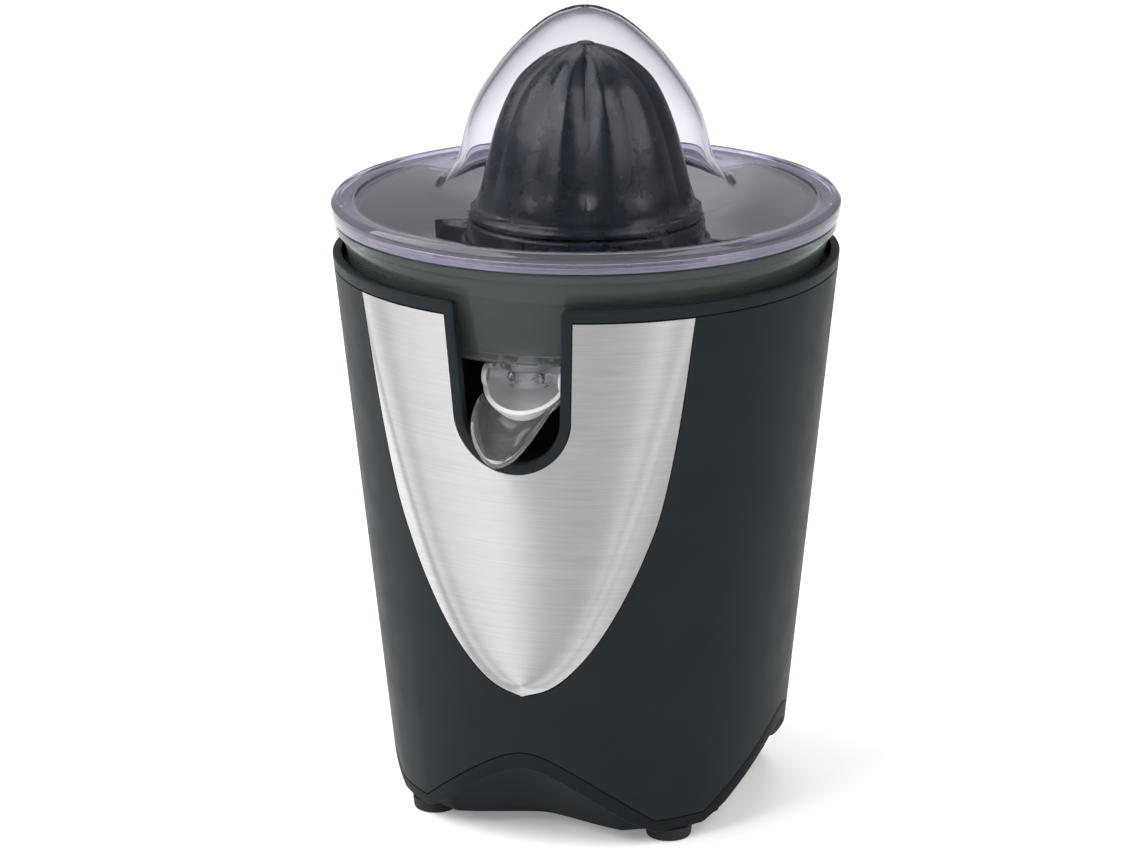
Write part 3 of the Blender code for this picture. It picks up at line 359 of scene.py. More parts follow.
def carve(obj, *steps):
    """Apply booleans, each an (operation, tool mesh) pair, and then drop the tools."""
    tools = []
    for operation, mesh in steps:
        tool = bpy.data.objects.new("tool", mesh)
        bpy.context.scene.collection.objects.link(tool)
        tool.location = AXIS
        tools.append(tool)
        step = obj.modifiers.new(operation.lower(), "BOOLEAN")
        step.operation = operation
        step.solver = "EXACT"
        step.object = tool
    bpy.context.view_layer.update()
    carved = bpy.data.meshes.new_from_object(obj.evaluated_get(bpy.context.evaluated_depsgraph_get()))
    obj.modifiers.clear()
    obj.data = carved
    for tool in tools:
        bpy.data.objects.remove(tool)
    carved.shade_smooth()
    carved.set_sharp_from_angle(angle=math.radians(SHARP_DEG))


def soften(obj, width, segments=3, angle=40):
    step = obj.modifiers.new("soft_edges", "BEVEL")
    step.width = width * MM
    step.segments = segments
    step.limit_method = "ANGLE"
    step.angle_limit = math.radians(angle)


# ---------------------------------------------------------------- materials

class Surface:
    """A Principled material with procedural detail measured in the object's own metres."""

    def __init__(self, name, colour, roughness, metallic=0.0):
        self.material = bpy.data.materials.new(name)
        self.material.use_nodes = True
        self.material.diffuse_color = (*colour, 1.0)
        self.tree = self.material.node_tree
        self.shader = self.tree.nodes["Principled BSDF"]
        self.colour = colour
        self.roughness = roughness
        self.set("Base Color", (*colour, 1.0))
        self.set("Roughness", roughness)
        self.set("Metallic", metallic)
        self.place = self.tree.nodes.new("ShaderNodeTexCoord").outputs["Object"]

    def set(self, socket, value):
        self.shader.inputs[socket].default_value = value

    def link(self, source, target):
        self.tree.links.new(source, target)

    def noise(self, size_mm, detail=2.0, stretch=(1.0, 1.0, 1.0)):
        """Noise whose grains are about size_mm wide; a stretch above 1 packs them along that axis."""
        mapping = self.tree.nodes.new("ShaderNodeMapping")
        mapping.inputs["Scale"].default_value = stretch
        self.link(self.place, mapping.inputs["Vector"])
        node = self.tree.nodes.new("ShaderNodeTexNoise")
        node.inputs["Scale"].default_value = 1000.0 / size_mm
        node.inputs["Detail"].default_value = detail
        self.link(mapping.outputs["Vector"], node.inputs["Vector"])
        return node.outputs["Fac"]

    def spread(self, source, low, high):
        node = self.tree.nodes.new("ShaderNodeMapRange")
        node.inputs["From Min"].default_value = 0.3
        node.inputs["From Max"].default_value = 0.7
        node.inputs["To Min"].default_value = low
        node.inputs["To Max"].default_value = high
        self.link(source, node.inputs["Value"])
        return node.outputs["Result"]

    def vary_roughness(self, source, amount):
        result = self.spread(source, self.roughness - amount, self.roughness + amount)
        self.link(result, self.shader.inputs["Roughness"])

    def vary_colour(self, source, amount):
        mix = self.tree.nodes.new("ShaderNodeMix")
        mix.data_type = "RGBA"
        mix.inputs["A"].default_value = (*[c * (1 - amount) for c in self.colour], 1.0)
        mix.inputs["B"].default_value = (*[min(c * (1 + amount), 1.0) for c in self.colour], 1.0)
        self.link(self.spread(source, 0.0, 1.0), mix.inputs["Factor"])
        self.link(mix.outputs["Result"], self.shader.inputs["Base Color"])

    def bump(self, source, height_mm, strength=1.0):
        node = self.tree.nodes.new("ShaderNodeBump")
        node.inputs["Distance"].default_value = height_mm * MM
        node.inputs["Strength"].default_value = strength
        self.link(source, node.inputs["Height"])
        self.link(node.outputs["Normal"], self.shader.inputs["Normal"])

    def blend_along(self, length, start_mm, end_mm, values):
        """Fade each socket's value, given as socket: (start, end), as a length in metres grows."""
        share = self.tree.nodes.new("ShaderNodeMapRange")
        share.interpolation_type = "SMOOTHSTEP"
        share.inputs["From Min"].default_value = start_mm * MM
        share.inputs["From Max"].default_value = end_mm * MM
        self.link(length, share.inputs["Value"])
        for socket, (start, end) in values.items():
            mix = self.tree.nodes.new("ShaderNodeMix")
            mix.data_type = "RGBA" if isinstance(start, tuple) else "FLOAT"
            kind = "Color" if isinstance(start, tuple) else "Float"
            sockets = {item.identifier: item for item in mix.inputs}
            sockets["A_" + kind].default_value = (*start, 1.0) if isinstance(start, tuple) else start
            sockets["B_" + kind].default_value = (*end, 1.0) if isinstance(end, tuple) else end
            self.link(share.outputs["Result"], sockets["Factor_Float"])
            result = {item.identifier: item for item in mix.outputs}["Result_" + kind]
            self.link(result, self.shader.inputs[socket])

    def height(self):
        split = self.tree.nodes.new("ShaderNodeSeparateXYZ")
        self.link(self.place, split.inputs["Vector"])
        return split.outputs["Z"]

    def distance_from_axis(self):
        flat = self.tree.nodes.new("ShaderNodeVectorMath")
        flat.operation = "MULTIPLY"
        flat.inputs[1].default_value = (1.0, 1.0, 0.0)
        self.link(self.place, flat.inputs[0])
        size = self.tree.nodes.new("ShaderNodeVectorMath")
        size.operation = "LENGTH"
        self.link(flat.outputs["Vector"], size.inputs[0])
        return size.outputs["Value"]

    def absorb(self, colour, density):
        volume = self.tree.nodes.new("ShaderNodeVolumeAbsorption")
        volume.inputs["Color"].default_value = (*colour, 1.0)
        volume.inputs["Density"].default_value = density
        output = self.tree.nodes["Material Output"]
        self.link(volume.outputs["Volume"], output.inputs["Volume"])


def moulded(name, colour, roughness, grain_mm=0.35, height_mm=0.004, level=0.5):
    """Opaque moulded plastic with a fine eroded grain and slow changes of gloss."""
    surface = Surface(name, colour, roughness)
    surface.set("Specular IOR Level", level)
    surface.vary_colour(surface.noise(18.0), 0.06)
    surface.vary_roughness(surface.noise(9.0, 3.0), 0.04)
    surface.bump(surface.noise(grain_mm, 1.0), height_mm)
    return surface


def see_through(name, colour, roughness, transmission, ior=1.49):
    surface = Surface(name, colour, roughness)
    surface.set("Transmission Weight", transmission)
    surface.set("IOR", ior)
    surface.vary_roughness(surface.noise(14.0), roughness * 0.3)
    return surface


def brushed(name, colour, roughness):
    """Sheet steel brushed along the horizontal: long fine scratches that pack together in height."""
    surface = Surface(name, colour, roughness, 1.0)
    scratches = surface.noise(12.0, 3.0, (1.0, 1.0, 60.0))
    surface.vary_roughness(scratches, 0.07)
    surface.vary_colour(surface.noise(30.0, 4.0, (0.6, 0.6, 90.0)), 0.055)
    surface.bump(scratches, 0.012, 0.35)
    surface.set("Anisotropic", 0.9)
    surface.set("Anisotropic Rotation", 0.25)
    tangent = surface.tree.nodes.new("ShaderNodeTangent")
    tangent.direction_type = "RADIAL"
    tangent.axis = "Z"
    surface.link(tangent.outputs["Tangent"], surface.shader.inputs["Tangent"])
    return surface


def metal(name, colour, roughness, grain_mm):
    surface = Surface(name, colour, roughness, 1.0)
    grain = surface.noise(grain_mm, 3.0)
    surface.vary_colour(grain, 0.08)
    surface.vary_roughness(grain, 0.08)
    surface.bump(grain, 0.006)
    return surface


def laminated(name, colour, roughness):
    """Stacked steel sheets, 0.5 mm thick, seen as fine horizontal lines."""
    surface = Surface(name, colour, roughness, 1.0)
    wave = surface.tree.nodes.new("ShaderNodeTexWave")
    wave.bands_direction = "Z"
    wave.inputs["Scale"].default_value = 2 * math.pi * 16
    surface.link(surface.place, wave.inputs["Vector"])
    surface.vary_colour(wave.outputs["Fac"], 0.3)
    surface.bump(wave.outputs["Fac"], 0.05)
    return surface


def make_materials():
    made = {
        "shell_plastic": moulded("shell_plastic", (0.0125, 0.0175, 0.0205), 0.45, level=0.06),
        "dark_plastic": moulded("dark_plastic", (0.009, 0.012, 0.014), 0.5, level=0.06),
        "reamer_plastic": moulded("reamer_plastic", (0.005, 0.010, 0.018), 0.28, height_mm=0.002,
                                  level=0.4),
        "frame_plastic": moulded("frame_plastic", (0.09, 0.10, 0.11), 0.55, 0.6, 0.01),
        "white_silicone": moulded("white_silicone", (0.90, 0.90, 0.92), 0.38, 0.5, 0.003),
        "natural_nylon": moulded("natural_nylon", (0.78, 0.74, 0.64), 0.45, 0.5, 0.004),
        "white_nylon": moulded("white_nylon", (0.82, 0.82, 0.80), 0.5, 0.5, 0.004),
        "foot_rubber": moulded("foot_rubber", (0.012, 0.013, 0.014), 0.72, 0.6, 0.02, 0.3),
        "steel": metal("steel", (0.55, 0.56, 0.58), 0.3, 1.2),
        "copper_wire": metal("copper_wire", (0.72, 0.32, 0.14), 0.35, 0.5),
        "sintered_bronze": metal("sintered_bronze", (0.55, 0.36, 0.18), 0.45, 0.4),
        "laminated_steel": laminated("laminated_steel", (0.30, 0.31, 0.33), 0.5),
        "brushed_steel": brushed("brushed_steel", (0.53, 0.53, 0.535), 0.60),
        "clear_plastic": see_through("clear_plastic", (0.95, 0.95, 0.96), 0.03, 0.95),
        "lid_plastic": see_through("lid_plastic", (1.0, 1.0, 1.0), 0.02, 1.0),
        "smoked_plastic": see_through("smoked_plastic", (0.26, 0.295, 0.30), 0.10, 0.86, 1.2),
        "dish_plastic": see_through("dish_plastic", (0.56, 0.585, 0.58), 0.14, 0.40, 1.3),
    }
    made["white_silicone"].set("Subsurface Weight", 0.35)
    made["white_silicone"].set("Subsurface Radius", (0.006, 0.006, 0.007))
    lid = made["lid_plastic"]
    lid.absorb((0.60, 0.58, 0.67), 175.0)
    lid.blend_along(lid.distance_from_axis(), 70.5, 72.5, {
        "Base Color": ((1.0, 1.0, 1.0), (0.60, 0.57, 0.72)),
        "Transmission Weight": (1.0, 0.91),
        "IOR": (1.07, 1.45)})
    smoked = made["smoked_plastic"]
    smoked.blend_along(smoked.height(), BOWL_FLOOR + 0.8, BOWL_FLOOR + 1.6, {
        "Base Color": ((0.90, 0.89, 0.93), smoked.colour),
        "Transmission Weight": (0.95, 0.86),
        "IOR": (1.45, 1.2)})
    return {slot: surface.material for slot, surface in made.items()}


def dress_frame():
    """Give each CAD node the procedural material of its slot."""
    for row in frame["record"]["subparts"]:
        obj = frame["nodes"][row["node"]]
        for index in range(len(obj.material_slots)):
            obj.material_slots[index].material = MATERIALS[row["material_slot"]]


# ---------------------------------------------------------------- body outline

def body_r(z):
    return BODY_R - BODY_TAPER * (BODY_TOP - z)


def off_arch(degrees):
    """Degrees away from the middle of the nearest of the four arches."""
    return abs((degrees + 45) % 90 - 45)


def parting_z(degrees):
    away = off_arch(degrees)
    drop = ARCH_SLOPE * (math.hypot(away, ARCH_ROUND_DEG) - ARCH_ROUND_DEG)
    return max(ARCH_PEAK - drop, LAND_Z)


def on_body(x, z, depth=0.0):
    radius = body_r(z) - depth
    return Vector((x, -math.sqrt(radius ** 2 - x ** 2), z))


def slot_half(z):
    share = max(z - SLOT_ARC_Z, 0.0) / (BODY_TOP - SLOT_ARC_Z)
    return SLOT_HALF + (SLOT_TOP_HALF - SLOT_HALF) * share


def slot_tool(name, margin, top, y_back):
    """A prism through the front wall in the shape of the slot, widened by margin."""
    radius = SLOT_HALF + margin
    turns = [math.pi * i / SLOT_STEPS for i in range(SLOT_STEPS + 1)]
    arc = [(-radius * math.cos(turn), SLOT_ARC_Z - radius * math.sin(turn)) for turn in turns]
    outline = [(-slot_half(top) - margin, top)] + arc + [(slot_half(top) + margin, top)]
    return loft(name, [[(x, y, z) for x, z in outline] for y in (-BODY_R - 8, y_back)])


# ---------------------------------------------------------------- base and feet

def base_profile(degrees):
    line = parting_z(degrees) - GAP / 2
    rise = min((parting_z(degrees) - LAND_Z) / STRIP_BLEND, 1.0)
    low = parting_z(degrees) - STRIP_LAND - (STRIP_ARCH - STRIP_LAND) * rise
    away = min(off_arch(degrees) / RECESS_BLEND_DEG, 1.0)
    foot = RECESS_R + (RECESS_LAND_R - RECESS_R) * away ** 1.7
    step = body_r(low) - STRIP_DEPTH
    floor = BASE_LOW + BASE_SHEET
    inner = body_r(line) - SHELL_WALL - GAP * 1.5
    return rounded([(body_r(line), line, 0.25), (body_r(low), low, 0.9), (step, low, 1.6),
                    (foot, BASE_LOW, 1.5), (0.0, BASE_LOW), (0.0, floor), (foot - 2.5, floor),
                    (step - 2.6, low + 2.4), (inner - 1.6, line + SEAM_RISE), (inner, line + SEAM_RISE),
                    (inner, line)])


def make_base():
    base = piece("base_cover_fine", swept("base_cover_fine", base_profile, BODY_STEPS), "dark_plastic",
                 "motor_base", "base_cover")
    vents = []
    for i in range(-2, 3):
        left = VENT_PITCH * i - VENT_HALF
        right = VENT_PITCH * i + VENT_HALF
        outline = [(left, VENT_Y[0]), (right, VENT_Y[0]), (right, VENT_Y[1]), (left, VENT_Y[1])]
        vents.append(("DIFFERENCE", prism("vent", outline, BASE_LOW - 1, BASE_LOW + 4)))
    carve(base, *vents)
    for i, side in enumerate(("front_right", "rear_right", "rear_left", "front_left")):
        node = "foot_" + side
        low, high = box_mm(node)
        radius = (high.x - low.x) / 2
        outline = rounded([(0, 0), (radius - 0.4, 0, 0.9), (radius, high.z, 0.4), (0, high.z)])
        centre = polar(FOOT_CIRCLE_R, 45 + 90 * i)
        piece(node + "_fine", turned(node, outline, 64, centre[:2]), "foot_rubber", "motor_base", node)


# ---------------------------------------------------------------- shell, panel and ring

def shell_profile(degrees):
    low = parting_z(degrees) + GAP / 2
    high = RING_LOW - GAP
    middle = (low + high) / 2
    return rounded([(body_r(low), low, 0.25), (body_r(low) - SHELL_WALL, low),
                    (body_r(high) - SHELL_WALL, high), (body_r(high), high, 0.2), (body_r(middle), middle)])


def panel_grid(depth, margin):
    """Rows of points on the cone inside the panel's outline, from its top to its tip."""
    rows = []
    for z, half in smooth_line(PANEL_OUTLINE, 9):
        half = max(half + margin, 0.4)
        z = z - margin if z < PANEL_TIP_Z else z
        spread = half / body_r(z)
        radius = body_r(z) - depth
        angles = [spread * (2 * j / PANEL_COLUMNS - 1) for j in range(PANEL_COLUMNS + 1)]
        rows.append([Vector((radius * math.sin(a), -radius * math.cos(a), z)) for a in angles])
    return rows


def make_shell():
    shell = piece("outer_shell_fine", swept("outer_shell_fine", shell_profile, BODY_STEPS), "shell_plastic",
                  "motor_base", "outer_shell")
    low, high = box_mm("cord_gland")
    hole = [[(a, y, (low.z + high.z) / 2 + b) for a, b in circle(GLAND_HOLE_R, 48)] for y in (50, 80)]
    carve(shell,
          ("DIFFERENCE", grid_sheet("recess", panel_grid(-3.0, GAP), panel_grid(PANEL_SHEET + GAP, GAP))),
          ("DIFFERENCE", slot_tool("slot", FRAME_WIDTH + GAP, BODY_TOP + 4, SLOT_BACK_Y)),
          ("DIFFERENCE", loft("gland_hole", hole)))

    sheet = grid_sheet("panel", panel_grid(PANEL_INSET, 0.0), panel_grid(PANEL_SHEET, 0.0))
    panel = piece("steel_panel_fine", sheet, "brushed_steel", "motor_base", "steel_front_panel")
    carve(panel, ("DIFFERENCE", slot_tool("panel_slot", FRAME_WIDTH + GAP, BODY_TOP + 4, SLOT_BACK_Y)))


def ring_path():
    """The edges of the ring: half of the frame, from the slot's foot up its right side, and the way round.

    The frame's rows are an inner and an outer (x, z) point and the share of the frame in the section there,
    from 1 along the slot to 0 where the ring begins. The way round is a list of azimuths.
    """
    arc = 40
    side = 12
    bend = 10
    steps = 340
    half = []
    for i in range(arc):
        turn = math.pi / 2 * i / arc
        ends = [(radius * math.sin(turn), SLOT_ARC_Z - radius * math.cos(turn))
                for radius in (SLOT_HALF, SLOT_HALF + FRAME_WIDTH)]
        half.append((*ends, 1.0))
    turn_z = RING_LOW - FRAME_TURN
    for i in range(side + 1):
        z = SLOT_ARC_Z + (turn_z - SLOT_ARC_Z) * i / side
        half.append(((slot_half(z), z), (slot_half(z) + FRAME_WIDTH, z), 1.0))
    x_top = slot_half(BODY_TOP)
    x_out = x_top + FRAME_WIDTH + FRAME_TURN
    for i in range(1, bend + 1):
        t = i / bend
        if t < 0.5:
            inner = (slot_half(turn_z), turn_z + (BODY_TOP - FRAME_CORNER_R - turn_z) * t / 0.5)
        else:
            turn = math.pi / 2 * (t - 0.5) / 0.5
            inner = (x_top + FRAME_CORNER_R * (1 - math.cos(turn)),
                     BODY_TOP - FRAME_CORNER_R * (1 - math.sin(turn)))
        if t > 0.9:
            inner = (x_out, BODY_TOP)
        outer = Vector((slot_half(turn_z) + FRAME_WIDTH, turn_z))
        corner = Vector((slot_half(turn_z) + FRAME_WIDTH, RING_LOW))
        end = Vector((x_out, RING_LOW))
        half.append((inner, tuple(outer.lerp(corner, t).lerp(corner.lerp(end, t), t)), 1.0 - t))
    start = math.degrees(math.asin(x_out / BODY_R))
    return half, [start + (360 - 2 * start) * i / steps for i in range(1, steps)]


def ring_section(width, share):
    """(offset from the inner edge, depth) round the ring's section."""
    depth = RING_DEPTH + (FRAME_DEPTH - RING_DEPTH) * share
    face = -FRAME_PROUD * share
    return rounded([(0.0, depth, 0.35), (0.0, face, 0.9), (width, face, 0.25), (width, depth)])


def make_ring():
    half, around = ring_path()
    sections = []
    left = []
    for inner, outer, share in half:
        start, end = Vector(inner), Vector(outer)
        along = (end - start).normalized()
        section = ring_section((end - start).length, share)
        spots = [(start + along * offset, depth) for offset, depth in section]
        sections.append([on_body(spot.x, spot.y, depth) for spot, depth in spots])
        left.append([on_body(-spot.x, spot.y, depth) for spot, depth in spots])
    section = ring_section(BODY_TOP - RING_LOW, 0.0)
    for degrees in around:
        sections.append([polar(body_r(BODY_TOP - offset) - depth, degrees, BODY_TOP - offset)
                         for offset, depth in section])
    sections += left[:0:-1]
    piece("top_ring_fine", loft("top_ring_fine", sections, closed=True), "shell_plastic", "motor_base",
          "top_ring")


# ---------------------------------------------------------------- bowl and spout

def make_bowl():
    floor = BOWL_FLOOR
    inside = BOWL_FLOOR + BOWL_SHEET
    bore = CHIMNEY_R - CHIMNEY_WALL
    outline = rounded([(bore, floor), (70.0, floor, 1.6), (71.6, 167.0, 9.0), (73.6, 176.0, 9.0),
                       (75.3, 182.4, 0.8), (77.1, 183.0, 0.5), (77.1, BOWL_RIM, 0.6), (73.2, BOWL_RIM, 0.5),
                       (71.6, 176.5, 9.0), (69.6, 167.0, 9.0), (67.8, inside, 2.0),
                       (CHIMNEY_R, inside, 1.2), (CHIMNEY_R, CHIMNEY_TOP, 0.4), (bore, CHIMNEY_TOP, 0.4)])
    bowl = piece("juice_bowl_fine", turned("juice_bowl_fine", outline), "smoked_plastic", "juice_bowl",
                 "juice_bowl")
    boss = rounded([(0, BOSS_END), (BOSS_R, BOSS_END, 1.2), (BOSS_R + 0.6, floor + 0.6), (0, floor + 0.6)])
    tube = rounded([(0, TUBE_END), (TUBE_R, TUBE_END, 0.4), (TUBE_R, floor + 0.8), (0, floor + 0.8)])
    way = TUBE_R - TUBE_WALL
    channel = [(0, TUBE_END - 1), (way, TUBE_END - 1), (way, inside - 1), (TUBE_R + 1, inside + 1),
               (0, inside + 1)]
    carve(bowl,
          ("UNION", turned("boss", boss, 96, (0, -BOSS_AT_R))),
          ("UNION", turned("tube", tube, 80, (0, -OUTLET_R))),
          ("UNION", cross_bar("hinge_pins", PIN_R, PIN_HALF, -HINGE_R, HINGE_Z)),
          ("DIFFERENCE", turned("tube_bore", channel, 80, (0, -OUTLET_R))))


def ball(name, radius):
    """A closed ball about the spout's hinge, with its poles on the hinge axis."""
    bm = bmesh.new()
    turn = Matrix.Translation((0, -HINGE_R, HINGE_Z)) @ Matrix.Rotation(math.pi / 2, 4, "Y")
    bmesh.ops.create_uvsphere(bm, u_segments=96, v_segments=48, radius=radius, matrix=turn)
    return finish_mesh(bm, name)


def on_rim_plane(along, above):
    """(forward, up) from the hinge: along the cup's tilted rim plane, and square to it."""
    tilt = math.radians(RIM_TILT_DEG)
    return Vector((along * math.cos(tilt) + above * math.sin(tilt),
                   -along * math.sin(tilt) + above * math.cos(tilt)))


def make_valve():
    valve = piece("spout_valve_fine", ball("spout_valve_fine", CUP_R), "white_silicone", "spout",
                  "spout_valve")
    tilt = math.radians(RIM_TILT_DEG)
    dip = math.asin(-RIM_ABOVE / EAR_R)
    turns = [-tilt - dip + (math.pi + 2 * dip) * i / 40 for i in range(41)]
    ear = [(EAR_R * math.cos(a), EAR_R * math.sin(a)) for a in turns]
    back = on_rim_plane((RIM_ABOVE * math.cos(tilt) - RIM_BACK_Z) / math.sin(tilt), RIM_ABOVE)
    mouth = [on_rim_plane(PAST_CUP, RIM_ABOVE), *ear, back, (-PAST_CUP, RIM_BACK_Z),
             (-PAST_CUP, 1.5 * PAST_CUP), on_rim_plane(PAST_CUP, 1.5 * PAST_CUP)]
    sides = [[(x, -forward - HINGE_R, up + HINGE_Z) for forward, up in mouth] for x in (-15, 15)]
    carve(valve,
          ("DIFFERENCE", ball("cup_room", CUP_R - CUP_WALL)),
          ("DIFFERENCE", loft("cup_mouth", sides)),
          ("DIFFERENCE", cross_bar("pin_holes", PIN_R + PIN_PLAY, 15, -HINGE_R, HINGE_Z)))
    soften(valve, 0.4)


def lip_line(share, rise, across):
    """(forward, up) on the lip's inside: from its seat round the cup, past a bend, to the tip.

    A rise of 0 is the keel and 1 the side edge; across is the distance from the middle where it starts.
    """
    start = on_rim_plane(math.sqrt((CUP_R + GAP) ** 2 - LIP_START ** 2 - across ** 2), -LIP_START)
    bend = Vector(LIP_KEEL).lerp(Vector(LIP_EDGE), rise)
    tip = Vector((LIP_TIP[0] - HINGE_R, LIP_TIP[1] - HINGE_Z))
    return start.lerp(bend, share).lerp(bend.lerp(tip, share), share)


def make_lip():
    """A spoon: its width follows a rounded nose, and its sheet thins towards the side edges."""
    rows = 56
    columns = 48
    rows_out = []
    rows_in = []
    for i in range(rows + 1):
        s = 1 - (1 - i / rows) ** 1.5
        half = LIP_HALF * max(1 - s ** 2.3, 0.004) ** 0.5
        narrowing = min(0.6 * LIP_SHEET / half, 0.25)
        outward = Vector((0.75 - 0.75 * s, -0.65 - 0.3 * s)) * LIP_SHEET
        outside_row = []
        inside_row = []
        for j in range(columns + 1):
            t = math.sin(math.pi / 2 * (2 * j / columns - 1))
            rise = abs(t) ** 2.4
            inside = 1 - narrowing * rise
            low = lip_line(s, rise, LIP_HALF * t) + outward * (1 - 0.7 * rise)
            spot = lip_line(s, rise, LIP_HALF * t * inside)
            outside_row.append(Vector((half * t, -low.x - HINGE_R, low.y + HINGE_Z)))
            inside_row.append(Vector((half * t * inside, -spot.x - HINGE_R, spot.y + HINGE_Z)))
        rows_out.append(outside_row)
        rows_in.append(inside_row)
    piece("spout_lip_fine", grid_sheet("spout_lip_fine", rows_out, rows_in), "clear_plastic", "spout",
          "spout_lip")


# ---------------------------------------------------------------- strainer, sweeper, hub and cone

def make_strainer():
    top = DISH_Z
    under = DISH_Z - DISH_SHEET
    flange = BOWL_RIM + GAP
    outline = rounded([(15.5, under), (54.5, under, 8.0), (62.0, 177.4, 14.0), (70.0, flange, 1.5),
                       (75.8, flange, 0.4), (75.8, flange + 1.1, 0.4), (69.4, flange + 1.1, 2.0),
                       (61.0, 178.8, 14.0), (53.8, top, 8.0), (17.0, top, 0.8), (17.0, top + 1.6, 0.4),
                       (15.5, top + 1.6, 0.4)], 6)
    strainer = piece("pulp_strainer_fine", turned("pulp_strainer_fine", outline), "smoked_plastic",
                     "strainer", "pulp_strainer", look="dish_plastic")
    slots = []
    for degrees in STRAINER_SLOTS:
        outline = []
        for radius, start_deg in zip(STRAINER_SLOT_R, (degrees - 90, degrees + 90)):
            end = polar(radius, degrees)
            outline += [tuple((end + polar(STRAINER_SLOT_HALF, start_deg + 180 * k / 24)).xy)
                        for k in range(25)]
        slots.append(("DIFFERENCE", prism("slot", outline, under - 1, top + 1)))
    carve(strainer, *slots)


def make_sweeper():
    low = SWEEPER_LOW
    inner = HUB_R + SWEEPER_PLAY
    outline = rounded([(inner, low), (SWEEPER_R, low, 0.3), (SWEEPER_R, SWEEPER_TOP, 0.5),
                       (inner, SWEEPER_TOP, 0.3)])
    sweeper = piece("pulp_sweeper_fine", turned("pulp_sweeper_fine", outline), "reamer_plastic", "sweeper",
                    "pulp_sweeper")
    fins = []
    for degrees in FIN_DEG:
        along = polar(1.0, degrees)
        side = polar(1.0, degrees + 90)
        sections = []
        for a, lead, trail, height in ((SWEEPER_R - 0.6, -3.6, 4.6, 180.6), (41.0, -3.1, 3.4, 180.5),
                                       (44.5, -2.5, 2.3, 180.2), (48.0, -1.6, 1.3, 179.7),
                                       (50.2, -0.7, 0.6, 179.3), (50.8, -0.3, 0.3, 179.0)):
            section = []
            ridge = 0.35 * (trail - lead)
            for b, z in ((lead, low), (lead, height - 1.6), (lead + ridge, height), (trail - ridge, height),
                         (trail, height - 2.0), (trail, low)):
                spot = along * a + side * b
                section.append((spot.x, spot.y, z))
            sections.append(section)
        fins.append(("UNION", loft("fin", sections)))
    carve(sweeper, *fins)


def make_hub():
    outline = rounded([(HUB_R, HUB_LOW, 0.3), (HUB_R, 180.0, 6.0), (36.4, 184.0, 0.9), (35.4, 184.8, 0.8),
                       (30.8, 184.8, 0.8), (25.2, 205.4, 6.0), (22.0, 213.4, 3.0), (19.0, 217.0, 1.5),
                       (12.0, 217.0, 0.8), (5.1, 217.0, 0.5), (5.1, 206.4), (8.6, 206.2), (10.6, 188.0),
                       (10.6, 178.0), (12.4, 178.0, 0.6), (12.4, 215.0), (18.2, 215.0), (20.6, 212.4),
                       (23.6, 204.8), (29.4, 183.0), (34.9, 182.4), (34.9, HUB_LOW)])
    piece("cone_hub_fine", turned("cone_hub_fine", outline), "reamer_plastic", "cone_hub", "cone_hub")


def flute(degrees):
    """Depth share of the flutes: a deep one every quarter turn and two shallow ones between."""
    step = 360 / FLUTES
    away = abs((degrees - FLUTE_TURN + step / 2) % step - step / 2) / (step / 2)
    deep = abs((degrees - FLUTE_TURN + 45) % 90 - 45) < step / 2
    valley = (1 - away) ** 1.3
    return valley * (1.0 if deep else SHALLOW_FLUTE)


def cone_profile(degrees):
    """The cone's wall; its flutes start shallow at the foot and fade out again near the tip."""
    share = flute(degrees)
    line = []
    for r, z in smooth_line(CONE_LINE, 7):
        height = (z - CONE_LINE[0][1]) / (CONE_LINE[-1][1] - CONE_LINE[0][1])
        swell = min(math.sin(math.pi * min(height * 0.9 + 0.05, 1.0)) * 1.6, 1.0) if height < 0.5 else 1.0
        swell *= min(r / FLUTE_FADE_R, 1.0)
        line.append((r - FLUTE_DEPTH * share * swell * min(1.0, height * 7 + 0.05), z))
    foot = rounded([(33.4, CONE_BASE - 1.6), (35.7, CONE_BASE - 1.6, 0.5), (36.0, CONE_BASE - 0.2, 0.6),
                    (35.2, CONE_BASE + 0.8, 0.5), (34.2, CONE_BASE + 1.3, 0.6), (33.9, 189.0)])[:-1]
    nub = [(2.9, 238.1), (2.5, CONE_TIP - 0.35), (1.6, CONE_TIP - 0.06), (0.0, CONE_TIP)]
    inner = [(0.0, 219.6), (20.2, 219.0), (22.8, 214.2), (26.0, 206.0), (31.4, CONE_BASE - 0.4)]
    return foot + line + nub + inner


def make_cone():
    piece("reamer_cone_fine", swept("reamer_cone_fine", cone_profile, 432), "reamer_plastic", "reamer_cone",
          "reamer_cone")


# ---------------------------------------------------------------- return spring

def make_spring():
    """The coil under the drive shaft's collar. The real coil closes up as the shaft is pressed down; this
    mesh keeps its shape.
    """
    low, high = box_mm("return_spring")
    radius = (high.x - low.x) / 2 - SPRING_WIRE_R
    start, end = low.z + SPRING_WIRE_R, high.z - SPRING_WIRE_R
    steps = SPRING_TURNS * 48
    sections = []
    for i in range(steps + 1):
        angle = 2 * math.pi * i / (steps / SPRING_TURNS)
        z = start + (end - start) * i / steps
        sections.append([((radius + a) * math.cos(angle), (radius + a) * math.sin(angle), z + b)
                         for a, b in circle(SPRING_WIRE_R, 12)])
    spring = piece("return_spring_fine", loft("return_spring_fine", sections), "steel", "output_gear",
                   "return_spring")
    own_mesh(spring)


# ---------------------------------------------------------------- lid

